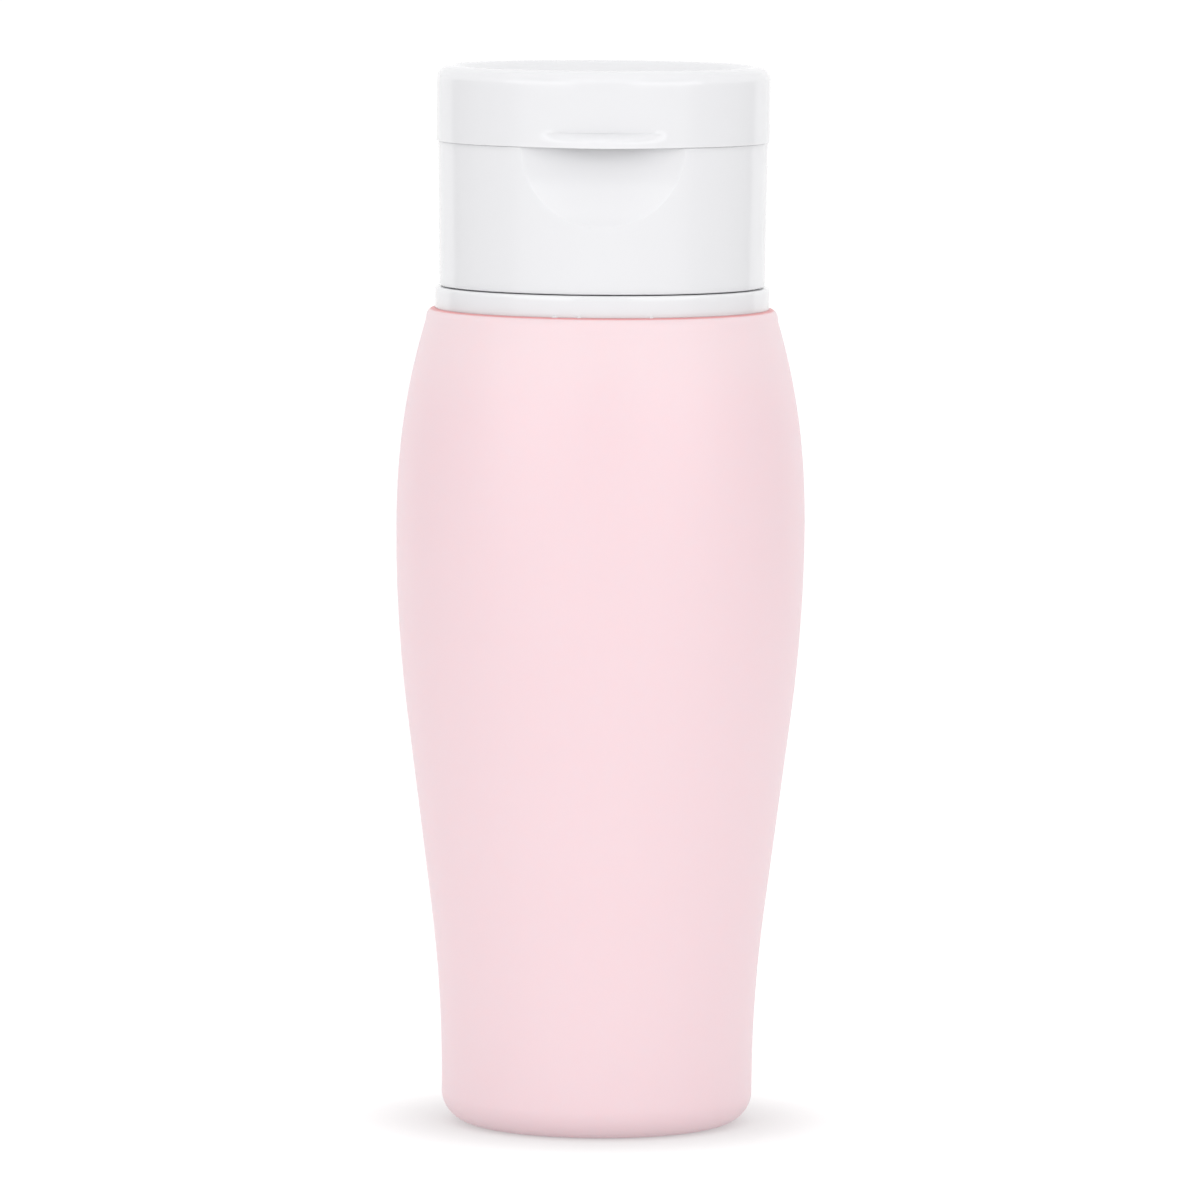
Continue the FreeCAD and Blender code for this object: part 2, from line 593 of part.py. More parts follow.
def check_document(bodies):
    """Stops if anything failed, a cut removed nothing, or a piece isn't one sound solid."""
    for item in doc.Objects:
        if {"Invalid", "Error"} & set(item.State):
            raise RuntimeError(f"{item.Name} failed: {item.State}")
        if item.TypeId in ("PartDesign::Pocket", "PartDesign::Groove"):
            if item.Shape.Volume >= item.BaseFeature.Shape.Volume:
                raise RuntimeError(f"{item.Name} removed nothing")
    for body in bodies:
        if body.Shape.isNull() or not body.Shape.isValid() or len(body.Shape.Solids) != 1:
            raise RuntimeError(f"{body.Label} isn't one sound solid")


PIECES = (make_bottle_body, make_neck_fitting, make_cap_gasket, make_cap_base, make_slit_valve,
          make_valve_retainer, make_flip_lid, make_hinge_pin)
pieces = [make() for make in PIECES]
doc.recompute()
check_document(pieces)
os.makedirs("parts", exist_ok=True)
for piece in pieces:
    piece.Shape.exportStep(f"parts/{piece.Label}.step")
    box = piece.Shape.optimalBoundingBox(False)
    print(f"{piece.Label}: {piece.Shape.Volume:.1f} mm3, z {box.ZMin:.2f} to {box.ZMax:.2f}")
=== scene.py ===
import math

import bmesh
import bpy
from mathutils import Matrix, Vector


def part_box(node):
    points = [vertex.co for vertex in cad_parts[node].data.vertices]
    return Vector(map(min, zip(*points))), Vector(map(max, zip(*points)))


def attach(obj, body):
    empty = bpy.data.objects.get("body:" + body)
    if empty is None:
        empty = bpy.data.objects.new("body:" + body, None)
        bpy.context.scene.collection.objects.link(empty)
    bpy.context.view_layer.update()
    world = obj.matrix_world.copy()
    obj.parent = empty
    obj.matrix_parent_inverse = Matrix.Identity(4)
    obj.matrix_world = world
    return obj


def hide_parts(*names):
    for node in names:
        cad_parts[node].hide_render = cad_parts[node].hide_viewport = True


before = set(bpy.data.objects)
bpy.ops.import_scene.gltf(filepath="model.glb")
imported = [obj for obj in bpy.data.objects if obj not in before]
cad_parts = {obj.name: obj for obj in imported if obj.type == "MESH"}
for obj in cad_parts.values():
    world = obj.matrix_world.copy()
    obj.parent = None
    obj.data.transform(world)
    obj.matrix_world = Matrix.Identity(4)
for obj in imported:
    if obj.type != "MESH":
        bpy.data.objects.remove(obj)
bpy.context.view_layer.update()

bl_info = {
    "name": "Travel squeeze bottle",
    "version": (1, 0, 0),
    "blender": (4, 5, 0),
    "location": "3D View > Sidebar > Bottle",
    "description": "Soft silicone travel bottle with a screw cap and a flip lid, built round its frame",
    "category": "Object",
}

# The frame is in metres. Outlines below are written in millimetres and turned to metres when drawn.
MM = 0.001
FULL_TURN = 2 * math.pi


def linear(hex_colour):
    """The linear colour of an sRGB hex value."""
    channels = [int(hex_colour[i:i + 2], 16) / 255 for i in (1, 3, 5)]
    return tuple(c / 12.92 if c <= 0.04045 else ((c + 0.055) / 1.055) ** 2.4 for c in channels)


def node_size(node):
    """A frame node's lowest and highest corner, in millimetres."""
    low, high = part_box(node)
    return low / MM, high / MM


BODY_HIGH = node_size("bottle_body")[1]
NECK_LOW, NECK_HIGH = node_size("neck_fitting")
CAP_LOW = node_size("cap_base")[0]
LID_LOW, LID_HIGH = node_size("flip_lid")
VALVE_LOW, VALVE_HIGH = node_size("slit_valve")
RING_LOW, RING_HIGH = node_size("valve_retainer")
WASHER_LOW, WASHER_HIGH = node_size("cap_gasket")
PIN_LOW, PIN_HIGH = node_size("hinge_pin")
PIN_RADIUS = (PIN_HIGH.z - PIN_LOW.z) / 2
HINGE_REACH = (PIN_LOW.y + PIN_HIGH.y) / 2
HINGE_HEIGHT = (PIN_LOW.z + PIN_HIGH.z) / 2

# The lid closes on the cap at the height of the hinge
SEAM_GAP = 0.03
CAP_TOP = HINGE_HEIGHT - SEAM_GAP / 2
LID_FOOT = HINGE_HEIGHT + SEAM_GAP / 2

# Edge radii of the mouldings, from crisp to full
SEAM_ROUND = 0.06
FINE_ROUND = 0.1
SMALL_ROUND = 0.15
EDGE_ROUND = 0.2
SOFT_ROUND = 0.3
FULL_ROUND = 0.4

# Room between pieces that sit against each other, overlap of shapes to be joined, and overrun of cuts
FIT = 0.05
OVERLAP = 0.3
OVERRUN = 1.0

# Points closer than the first are merged, edges shorter than the second go, folds past the third stay sharp
MERGE_DISTANCE = 0.001
SHORTEST_EDGE = 0.0005
SHARP_ANGLE = math.radians(24)

# Steps along an arc, and the longest run between two points of an outline
ARC_STEP = 0.25
FINE_ARC_STEP = 0.1
BODY_RUN = 1.2
FINE_RUN = 0.5

# Steps in a full turn of wide and of narrow pieces, of a thread, a barrel, a pin hole and the scoop
ROUND_STEPS = 256
NARROW_STEPS = 128
THREAD_STEPS = 160
BARREL_STEPS = 96
HOLE_STEPS = 48
SCOOP_STEPS = 720


# Sizes and colours that a user may change

def length(name, description, default):
    """A size in millimetres, shown in the panel as a plain number."""
    return bpy.props.FloatProperty(name=name, description=description, default=default, min=0.0,
                                   soft_max=4 * default, precision=3)


def colour(name, description, hex_colour):
    """A colour that is given as an sRGB hex value."""
    return bpy.props.FloatVectorProperty(name=name, description=description, default=linear(hex_colour),
                                         subtype="COLOR", size=3, min=0.0, max=1.0)


def stage_value(name, description, default, **extra):
    """A value of the camera or the light."""
    return bpy.props.FloatProperty(name=name, description=description, default=default, **extra)


class BodySizes(bpy.types.PropertyGroup):
    """Outline of the silicone body, in millimetres."""
    belly_height: length("Belly height", "Base to the widest ring", 66.3)
    foot_radius: length("Foot radius", "Radius just above the foot", 17.2)
    foot_round: length("Foot round", "Radius of the edge between base and wall", 3.5)
    waist_height: length("Waist height", "Base to where the wall starts to flare", 4.0)
    mouth_radius: length("Mouth radius", "Radius of the mouth's outer edge", 19.22)
    mouth_round: length("Mouth round", "Radius of the mouth's upper edge", 0.9)
    mouth_bead: length("Mouth bead", "Silicone pressed up round the collar's foot", 0.02)
    bead_round: length("Bead round", "Inner edge radius of the bead", 0.05)
    bead_slope: length("Bead slope", "How far the bead slopes in under the collar", 0.3)
    collar_room: length("Collar room", "Between the silicone and the collar", 0.02)
    mouth_edge: length("Mouth edge", "Mouth's top down to the end of the shoulder", 0.7)
    mouth_bore: length("Mouth bore", "Radius of the hole for the neck's sleeve", 15.45)
    wall: length("Wall", "Thickness of the silicone", 2.2)
    floor: length("Floor", "Thickness of the floor", 2.4)
    floor_round: length("Floor round", "Radius between floor and wall, inside", 1.2)
    recess_radius: length("Recess radius", "Hollow under the base", 11.0)
    recess_depth: length("Recess depth", "Depth of the hollow under the base", 0.8)
    unevenness: length("Unevenness", "How far the soft wall strays from true", 0.05)


class CapSizes(bpy.types.PropertyGroup):
    """Neck, cap and valve, in millimetres."""
    neck_bore: length("Neck bore", "Radius of the way through the neck", 12.6)
    neck_root: length("Neck radius", "Radius of the neck under its thread", 14.4)
    sleeve_radius: length("Sleeve radius", "Radius of the sleeve in the mouth", 15.4)
    collar_thickness: length("Collar thickness", "Height of the collar", 2.4)
    collar_round: length("Collar round", "Upper edge radius of the collar", 0.3)
    collar_foot_round: length("Collar foot round", "Lower edge radius of the collar", 0.06)
    thread_depth: length("Thread depth", "Height of a ridge", 0.8)
    thread_lead: length("Thread lead", "Rise for each turn", 4.0)
    thread_root: length("Thread root", "Ridge width at its foot", 1.7)
    thread_crest: length("Thread crest", "Ridge width at its crest", 0.8)
    skirt_bore: length("Skirt bore", "Radius inside the cap's skirt", 15.6)
    foot_radius: length("Cap foot radius", "Radius of the cap at its foot", 17.94)
    top_radius: length("Cap top radius", "Radius of the cap at the lid seam", 18.14)
    well_radius: length("Well radius", "Radius of the well above the deck", 14.6)
    well_round: length("Well round", "Radius between the well's wall and the deck", 0.6)
    spigot_wall: length("Spigot wall", "Ring that centres the lid", 1.0)
    spigot_height: length("Spigot height", "How far that ring stands above the seam", 1.2)
    deck_thickness: length("Deck", "Plate across the cap", 1.6)
    opening_radius: length("Pouring hole", "Radius of the hole in the deck", 5.0)
    boss_wall: length("Boss wall", "Wall of the ring under the deck that holds the valve", 1.2)
    snap_depth: length("Snap depth", "How far the snap bead stands in", 0.25)
    snap_height: length("Snap height", "Height of the snap bead", 0.35)
    valve_room: length("Valve room", "Between the valve's dome and the pouring hole", 0.5)
    valve_wall: length("Valve wall", "Thickness of the valve's dome", 0.7)
    slit_half_length: length("Slit half length", "Half of each slit in the valve", 2.5)
    slit_half_width: length("Slit half width", "Half the width of each slit", 0.07)
    ring_overlap: length("Ring overlap", "How far the ring reaches in past the pouring hole's edge", 0.2)
    washer_room: length("Washer room", "Between the washer's hole and the neck's bore", 0.2)
    scoop_depth: length("Scoop depth", "Deepest cut of the thumb scoop", 2.36)
    scoop_radius: length("Scoop radius", "Radius of the scoop across the cap", 17.5)
    gusset_height: length("Gusset height", "Web under a hinge ear", 3.8)


class LidSizes(bpy.types.PropertyGroup):
    """Lid and hinge, in millimetres."""
    radius: length("Lid radius", "Outside of the lid", 18.35)
    wall: length("Lid wall", "Wall of the lid", 1.6)
    roof: length("Lid roof", "Roof of the lid", 1.4)
    roof_round: length("Roof round", "Radius between roof and wall, inside", 1.0)
    rim_round: length("Rim round", "Outer radius of the raised rim", 1.5)
    dish_depth: length("Dish depth", "Dish below the rim's crest", 1.2)
    dish_slope: length("Dish slope", "Width of the slope from crest to dish", 2.6)
    lip_half_width: length("Lip half width", "Thumb lip to each side", 7.07)
    lip_height: length("Lip height", "Top of the thumb lip above the seam", 1.6)
    lip_front: length("Lip front", "Upright front of the thumb lip", 0.5)
    plug_radius: length("Plug radius", "Ring that closes the valve", 3.2)
    plug_wall: length("Plug wall", "Wall of that ring", 1.0)
    barrel_radius: length("Barrel radius", "Hinge barrel", 1.4)
    knuckle_half: length("Knuckle half", "Half the lid's knuckle", 2.3)
    barrel_room: length("Barrel room", "Round a knuckle in the other piece", 0.3)
    web_height: length("Web height", "Web above the lid's knuckle", 3.0)
    pin_seat: length("Pin seat", "Room round the pin in the cap's ears", 0.02)
    pin_play: length("Pin play", "Room round the pin in the lid's knuckle", 0.05)


class Finishes(bpy.types.PropertyGroup):
    """Colours of the materials."""
    silicone: colour("Silicone", "Pink of the soft body", "#E6CDD2")
    silicone_deep: colour("Silicone, deep", "Slightly warmer pink where the pigment is denser", "#E5CBD0")
    # Painted highlight: a paler pink for the top of the wall, where light falls from above
    silicone_painted_highlight: colour("Silicone, backed", "Paler pink painted at the top as highlight and sleeve showing through", "#E5CFD3")
    # Painted shade: a stronger pink for the crease under the collar
    silicone_painted_crease_shade: colour("Silicone, painted crease shade", "Strong pink at the mouth, under the collar", "#DE9092")
    plastic: colour("Plastic", "White of the cap and lid", "#DEDEE0")
    plastic_flow: colour("Plastic, flow", "White along the flow of the moulding", "#DDDDDF")
    clear: colour("Clear silicone", "Milky clear of the valve and washer", "#E9ECEC")
    steel: colour("Steel", "Drawn wire of the hinge pin", "#B9BBBE")
    floor: colour("Floor", "Pale floor", "#BCBCBC")
    card: colour("Card", "Grey boards beside the bottle", "#A8A8A8")


class StageSettings(bpy.types.PropertyGroup):
    """Camera and light. Bearings and elevations of panels and boards are in degrees."""
    distance: stage_value("Camera distance", "Camera to the bottle's axis", 1.067, unit="LENGTH")
    height: stage_value("Camera height", "Camera above the floor", 0.156, unit="LENGTH")
    pitch: stage_value("Camera pitch", "How far the camera looks down", math.radians(5.25), unit="ROTATION")
    roll: stage_value("Camera roll", "Lean of the picture", math.radians(0.4), unit="ROTATION")
    lens: stage_value("Lens", "Focal length, in millimetres", 291.0)
    sensor: stage_value("Sensor", "Width of the camera's sensor, in millimetres", 36.0)
    target_height: stage_value("Target height", "Floor to the point that panels look at", 0.07, unit="LENGTH")
    panel_distance: stage_value("Panel distance", "That point to the middle of a panel", 0.9, unit="LENGTH")
    softbox: stage_value("Softboxes", "Radiance of the two front softboxes", 1.8)
    softbox_width: stage_value("Softbox width", "Width of a softbox", 0.84, unit="LENGTH")
    softbox_height: stage_value("Softbox height", "Height of a softbox", 0.38, unit="LENGTH")
    softbox_bearing: stage_value("Softbox bearing", "From the camera's side to a softbox", 45.0)
    softbox_elevation: stage_value("Softbox elevation", "From level up to a softbox", 16.0)
    boom: stage_value("Boom", "Radiance of the panel above the camera", 1.05)
    boom_width: stage_value("Boom width", "Width of that panel", 0.8, unit="LENGTH")
    boom_height: stage_value("Boom height", "Height of that panel", 0.4, unit="LENGTH")
    boom_elevation: stage_value("Boom elevation", "From level up to that panel", 36.0)
    overhead: stage_value("Overhead", "Radiance of the room overhead", 1.34)
    front: stage_value("Front", "Radiance of the room behind the camera", 0.7)
    sides: stage_value("Sides", "Radiance of the room at the sides", 1.35)
    backdrop: stage_value("Behind", "Radiance of the room behind the bottle", 1.35)
    board_distance: stage_value("Board distance", "Bottle's axis to a side board", 0.42, unit="LENGTH")
    board_half: stage_value("Board half length", "Half the length of a side board", 0.27, unit="LENGTH")
    board_height: stage_value("Board height", "Height of a side board", 0.16, unit="LENGTH")
    board_bearing: stage_value("Board bearing", "From the camera's side to a board's middle", 94.5)


# Outlines: corners of half a section, as radius and height in millimetres

def round_corners(corners, step=ARC_STEP):
    """Turns (radius, height) and (radius, height, fillet) corners into points.
    Each fillet is drawn as an arc with points about a step apart."""
    points = []
    for number, corner in enumerate(corners):
        here = Vector(corner[:2])
        fillet = corner[2] if len(corner) > 2 else 0.0
        if not fillet or number in (0, len(corners) - 1):
            points.append(here)
            continue
        back = (Vector(corners[number - 1][:2]) - here).normalized()
        ahead = (Vector(corners[number + 1][:2]) - here).normalized()
        half = back.angle(ahead) / 2
        centre = here + (back + ahead).normalized() * (fillet / math.sin(half))
        first = here + back * (fillet / math.tan(half)) - centre
        last = here + ahead * (fillet / math.tan(half)) - centre
        sweep = first.angle_signed(last)
        count = max(3, round(abs(sweep) * fillet / step))
        for index in range(count + 1):
            angle = -sweep * index / count
            points.append(centre + Matrix.Rotation(angle, 2) @ first)
    return points


def closed_loop(points):
    return points + points[:1]


def evened(points, step):
    """The same outline with no run longer than a step."""
    result = [points[0]]
    for start, end in zip(points, points[1:]):
        count = max(1, math.ceil((end - start).length / step))
        result += [start.lerp(end, index / count) for index in range(1, count + 1)]
    return result


# Geometry Nodes: one tree turns or screws a section about the bottle's axis

def node(tree, kind, inputs=None, **settings):
    """Adds a node with its settings, and feeds its inputs from values or other nodes' sockets."""
    made = tree.nodes.new(kind)
    for name, setting in settings.items():
        setattr(made, name, setting)
    for key, feed in (inputs or {}).items():
        socket = made.inputs[key]
        if isinstance(feed, bpy.types.NodeSocket):
            tree.links.new(feed, socket)
        else:
            socket.default_value = feed
    return made


def maths(tree, operation, *values):
    """The result of one operation on values or other nodes' sockets."""
    return node(tree, "ShaderNodeMath", dict(enumerate(values)), operation=operation).outputs[0]


def mapped(tree, value, start, end, low, high, curve="LINEAR"):
    """Runs from low to high while a value runs from start to end."""
    return node(tree, "ShaderNodeMapRange", {
        "Value": value, "From Min": start, "From Max": end, "To Min": low, "To Max": high},
        interpolation_type=curve).outputs[0]


def turning_tree():
    """Carries every point of a section round the axis, with a rise for each turn."""
    tree = bpy.data.node_groups.new("turned section", "GeometryNodeTree")
    face = tree.interface
    face.new_socket("Geometry", in_out="INPUT", socket_type="NodeSocketGeometry")
    face.new_socket("Steps", in_out="INPUT", socket_type="NodeSocketInt")
    face.new_socket("Turns", in_out="INPUT", socket_type="NodeSocketFloat")
    face.new_socket("Lead", in_out="INPUT", socket_type="NodeSocketFloat")
    face.new_socket("Material", in_out="INPUT", socket_type="NodeSocketMaterial")
    face.new_socket("Geometry", in_out="OUTPUT", socket_type="NodeSocketGeometry")
    given = node(tree, "NodeGroupInput").outputs
    size = node(tree, "GeometryNodeAttributeDomainSize", {"Geometry": given["Geometry"]})
    count = size.outputs["Point Count"]
    rows = maths(tree, "ADD", given["Steps"], 1.0)
    grid = node(tree, "GeometryNodeMeshGrid", {"Size X": 1.0, "Size Y": 1.0, "Vertices X": count,
                                               "Vertices Y": rows}).outputs["Mesh"]
    # The grid runs from -0.5 to 0.5, with the section's points along X and the turn along Y
    place = node(tree, "GeometryNodeInputPosition").outputs[0]
    cell = node(tree, "ShaderNodeSeparateXYZ", {0: place}).outputs
    across = maths(tree, "ADD", cell["X"], 0.5)
    last = maths(tree, "SUBTRACT", count, 1.0)
    index = maths(tree, "ROUND", maths(tree, "MULTIPLY", across, last))
    section = node(tree, "GeometryNodeSampleIndex", {"Geometry": given["Geometry"], "Value": place,
                                                     "Index": index}, data_type="FLOAT_VECTOR").outputs[0]
    corner = node(tree, "ShaderNodeSeparateXYZ", {0: section}).outputs
    share = maths(tree, "ADD", cell["Y"], 0.5)
    turned = maths(tree, "MULTIPLY", share, given["Turns"])
    angle = maths(tree, "MULTIPLY", turned, FULL_TURN)
    x = maths(tree, "MULTIPLY", corner["X"], maths(tree, "COSINE", angle))
    y = maths(tree, "MULTIPLY", corner["X"], maths(tree, "SINE", angle))
    z = maths(tree, "MULTIPLY_ADD", turned, given["Lead"], corner["Z"])
    spot = node(tree, "ShaderNodeCombineXYZ", {"X": x, "Y": y, "Z": z}).outputs[0]
    moved = node(tree, "GeometryNodeSetPosition", {"Geometry": grid, "Position": spot}).outputs[0]
    merged = node(tree, "GeometryNodeMergeByDistance", {
        "Geometry": moved, "Distance": MERGE_DISTANCE * MM}).outputs[0]
    smooth = node(tree, "GeometryNodeSetShadeSmooth", {"Geometry": merged}).outputs[0]
    real = node(tree, "GeometryNodeRealizeInstances", {"Geometry": smooth}).outputs[0]
    dressed = node(tree, "GeometryNodeSetMaterial", {
        "Geometry": real, "Material": given["Material"]}).outputs[0]
    node(tree, "NodeGroupOutput", {"Geometry": dressed})
    return tree


def turned_piece(name, points, material, steps=ROUND_STEPS, turns=1.0, lead=0.0):
    """A mesh object from a section in millimetres, turned about the axis by the shared tree."""
    mesh = bpy.data.meshes.new(name)
    edges = [(index, index + 1) for index in range(len(points) - 1)]
    mesh.from_pydata([(point.x * MM, 0.0, point.y * MM) for point in points], edges, [])
    piece = bpy.data.objects.new(name, mesh)
    bpy.context.scene.collection.objects.link(piece)
    tree = bpy.data.node_groups.get("turned section") or turning_tree()
    modifier = piece.modifiers.new("turned", "NODES")
    modifier.node_group = tree
    sockets = {item.name: item.identifier for item in tree.interface.items_tree if item.in_out == "INPUT"}
    for socket, setting in (("Steps", steps), ("Turns", turns), ("Lead", lead * MM), ("Material", material)):
        modifier[sockets[socket]] = setting
    return made_plain(piece)


def made_plain(piece):
    """Replaces a piece's mesh by what its modifiers give, closed and with faces outwards."""
    bpy.context.view_layer.update()
    source = piece.data
    piece.data = bpy.data.meshes.new_from_object(piece.evaluated_get(bpy.context.evaluated_depsgraph_get()))
    piece.modifiers.clear()
    bpy.data.meshes.remove(source)
    piece.data.name = piece.name
    work = bmesh.new()
    work.from_mesh(piece.data)
    bmesh.ops.dissolve_degenerate(work, dist=SHORTEST_EDGE * MM, edges=work.edges)
    bmesh.ops.holes_fill(work, edges=[edge for edge in work.edges if edge.is_boundary], sides=0)
    bmesh.ops.recalc_face_normals(work, faces=work.faces)
    work.to_mesh(piece.data)
    work.free()
    return piece


def combined(piece, operation, *tools):
    """Joins tools to a piece or cuts it with them, and removes the tools."""
    for tool in tools:
        modifier = piece.modifiers.new(tool.name, "BOOLEAN")
        modifier.operation = operation
        modifier.solver = "EXACT"
        modifier.object = tool
    made_plain(piece)
    for tool in tools:
        bpy.data.objects.remove(tool)
    return piece


def along_x(name, outline, low, high, material):
    """A bar along X, from low to high, with an outline of Y and Z points in millimetres."""
    mesh = bpy.data.meshes.new(name)
    work = bmesh.new()
    ends = []
    for x in (low, high):
        ends.append([work.verts.new((x * MM, point.x * MM, point.y * MM)) for point in outline])
    for index in range(len(outline)):
        following = (index + 1) % len(outline)
        work.faces.new((ends[0][index], ends[0][following], ends[1][following], ends[1][index]))
    work.faces.new(ends[0])
    work.faces.new(ends[1])
    bmesh.ops.recalc_face_normals(work, faces=work.faces)
    work.to_mesh(mesh)
    work.free()
    mesh.materials.append(material)
    piece = bpy.data.objects.new(name, mesh)
    bpy.context.scene.collection.objects.link(piece)
    return piece


def circle(y, z, radius, steps):
    """Points of a circle that lies across the X axis, as Y and Z."""
    angles = [FULL_TURN * index / steps for index in range(steps)]
    return [Vector((y + radius * math.cos(angle), z + radius * math.sin(angle))) for angle in angles]


def hinge_circle(radius, steps=BARREL_STEPS):
    """Points of a circle round the hinge's axis."""
    return circle(HINGE_REACH, HINGE_HEIGHT, radius, steps)


def finish_piece(piece, body, material_slot, *nodes):
    """Shades a piece smooth up to its edges, ties it to its body and hides its frame nodes. The slot is not
    used.
    """
    piece.data.shade_smooth()
    piece.data.set_sharp_from_angle(angle=SHARP_ANGLE)
    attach(piece, body)
    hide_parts(*nodes)


# Materials

def blank_material(name):
    """A material with nothing but object coordinates. Returns it with its tree and those coordinates,
    or without them if it was made before."""
    material = bpy.data.materials.get(name)
    if material:
        return material, None, None
    material = bpy.data.materials.new(name)
    material.use_nodes = True
    tree = material.node_tree
    tree.nodes.clear()
    return material, tree, node(tree, "ShaderNodeTexCoord").outputs["Object"]


def noise(tree, where, size_mm, detail=2.0):
    """Soft noise whose patches are about the given size across."""
    return node(tree, "ShaderNodeTexNoise", {
        "Vector": where, "Scale": 1 / (size_mm * MM), "Detail": detail}).outputs[0]


def blended(tree, share, first, second):
    """A colour between two, each given as a colour or as another node's socket."""
    ends = [end if isinstance(end, bpy.types.NodeSocket) else (*end, 1.0) for end in (first, second)]
    mix = node(tree, "ShaderNodeMix", {"Factor": share, "A": ends[0], "B": ends[1]}, data_type="RGBA")
    return mix.outputs["Result"]


def surfaced(material, tree, inputs, **settings):
    """Ends a material's tree in a surface with these inputs."""
    shader = node(tree, "ShaderNodeBsdfPrincipled", inputs, **settings)
    node(tree, "ShaderNodeOutputMaterial", {"Surface": shader.outputs[0]})
    return material


def moulded_silicone(colours):
    """Pigmented silicone rubber, moulded in a blasted tool: matt, soft-edged and a little translucent."""
    material, tree, where = blank_material("silicone rubber, moulded")
    if not tree:
        return material
    tint = blended(tree, noise(tree, where, 26.0), colours.silicone, colours.silicone_deep)
    # Painted highlight: the top of the wall is painted paler, for light from above and the white sleeve
    # showing through
    height = node(tree, "ShaderNodeSeparateXYZ", {0: where}).outputs["Z"]
    fade_low, fade_high = NECK_LOW.z - 5.0, BODY_HIGH.z - 1.0
    painted_highlight = mapped(tree, height, fade_low * MM, fade_high * MM, 0.0, 1.0, "SMOOTHSTEP")
    tint = blended(tree, painted_highlight, tint, colours.silicone_painted_highlight)
    # Painted shade: a thin line of stronger pink at the wall's top edge, in the crease under the collar
    line_low, line_high = BODY_HIGH.z - 0.2, BODY_HIGH.z - 0.06
    pressed = mapped(tree, height, line_low * MM, line_high * MM, 0.0, 1.0)
    tint = blended(tree, pressed, tint, colours.silicone_painted_crease_shade)
    # The blasted tool's grit is about 0.05 mm, too fine to show, so it is drawn ten times coarser
    grit = noise(tree, where, 0.5, 3.0)
    sheen = mapped(tree, grit, 0.0, 1.0, 0.36, 0.44)
    bump = node(tree, "ShaderNodeBump", {"Height": grit, "Strength": 0.06, "Distance": 0.05 * MM})
    return surfaced(material, tree, {
        "Base Color": tint, "Roughness": sheen, "IOR": 1.41, "Normal": bump.outputs[0],
        "Specular IOR Level": 0.6, "Subsurface Weight": 0.25, "Subsurface Radius": (1.0, 0.55, 0.5),
        "Subsurface Scale": 1.6 * MM}, subsurface_method="RANDOM_WALK")


def moulded_polypropylene(colours):
    """Polypropylene, moulded against a polished tool: bright white, smooth, with a faint orange peel."""
    material, tree, where = blank_material("polypropylene, moulded")
    if not tree:
        return material
    flow = noise(tree, where, 18.0)
    tint = blended(tree, flow, colours.plastic, colours.plastic_flow)
    peel = noise(tree, where, 1.6)
    gloss = mapped(tree, flow, 0.0, 1.0, 0.11, 0.15)
    bump = node(tree, "ShaderNodeBump", {"Height": peel, "Strength": 0.03, "Distance": 0.05 * MM})
    return surfaced(material, tree, {
        "Base Color": tint, "Roughness": gloss, "IOR": 1.49, "Normal": bump.outputs[0],
        "Subsurface Weight": 0.3, "Subsurface Radius": (1.0, 1.0, 1.0), "Subsurface Scale": 1.2 * MM})


def clear_silicone(colours):
    """Unpigmented silicone rubber, moulded: milky, rubbery, lets light through."""
    material, tree, where = blank_material("clear silicone rubber, moulded")
    if not tree:
        return material
    haze = noise(tree, where, 3.0)
    gloss = mapped(tree, haze, 0.0, 1.0, 0.3, 0.4)
    return surfaced(material, tree, {
        "Base Color": (*colours.clear, 1.0), "Roughness": gloss, "IOR": 1.41, "Subsurface Weight": 0.6,
        "Subsurface Radius": (1.0, 1.0, 1.0), "Subsurface Scale": 1.5 * MM, "Transmission Weight": 0.25})


def drawn_steel(colours):
    """Stainless wire, drawn: fine lines along the pin."""
    material, tree, where = blank_material("stainless steel, drawn")
    if not tree:
        return material
    stretched = node(tree, "ShaderNodeMapping", {"Vector": where, "Scale": (0.05, 1.0, 1.0)}).outputs[0]
    lines = noise(tree, stretched, 0.2, 1.0)
    gloss = mapped(tree, lines, 0.0, 1.0, 0.25, 0.4)
    return surfaced(material, tree, {
        "Base Color": (*colours.steel, 1.0), "Metallic": 1.0, "Roughness": gloss})


def pale_floor(colours):
    """Pale floor with painted light: it glows like a light table, a little less towards the camera, and its
    glow is lowered round the bottle's foot as a painted soft shadow."""
    material, tree, where = blank_material("glowing floor, painted shadow")
    if not tree:
        return material
    mottle = noise(tree, where, 120.0)
    shade = mapped(tree, mottle, 0.0, 1.0, 0.85, 0.95)
    depth = node(tree, "ShaderNodeSeparateXYZ", {0: where}).outputs["Y"]
    # Painted light: the floor glows, a little less towards the camera
    glow = mapped(tree, depth, -0.4, -0.05, 0.4, 0.56, "SMOOTHSTEP")
    away = node(tree, "ShaderNodeVectorMath", {0: where}, operation="LENGTH").outputs["Value"]
    # Painted shadow: the glow is lowered round the bottle's foot
    shadow = mapped(tree, away, 0.016, 0.032, 0.62, 1.0, "SMOOTHSTEP")
    return surfaced(material, tree, {
        "Base Color": (*colours.floor, 1.0), "Roughness": shade, "Specular IOR Level": 0.0,
        "Emission Color": (1.0, 1.0, 1.0, 1.0), "Emission Strength": maths(tree, "MULTIPLY", glow, shadow)})


def grey_card(colours):
    """Grey card, pressed: matt, with a faint mottling."""
    material, tree, where = blank_material("grey card, pressed")
    if not tree:
        return material
    mottle = noise(tree, where, 40.0)
    shade = mapped(tree, mottle, 0.0, 1.0, 0.9, 1.0)
    return surfaced(material, tree, {
        "Base Color": (*colours.card, 1.0), "Roughness": shade, "Specular IOR Level": 0.0})


# Silicone body

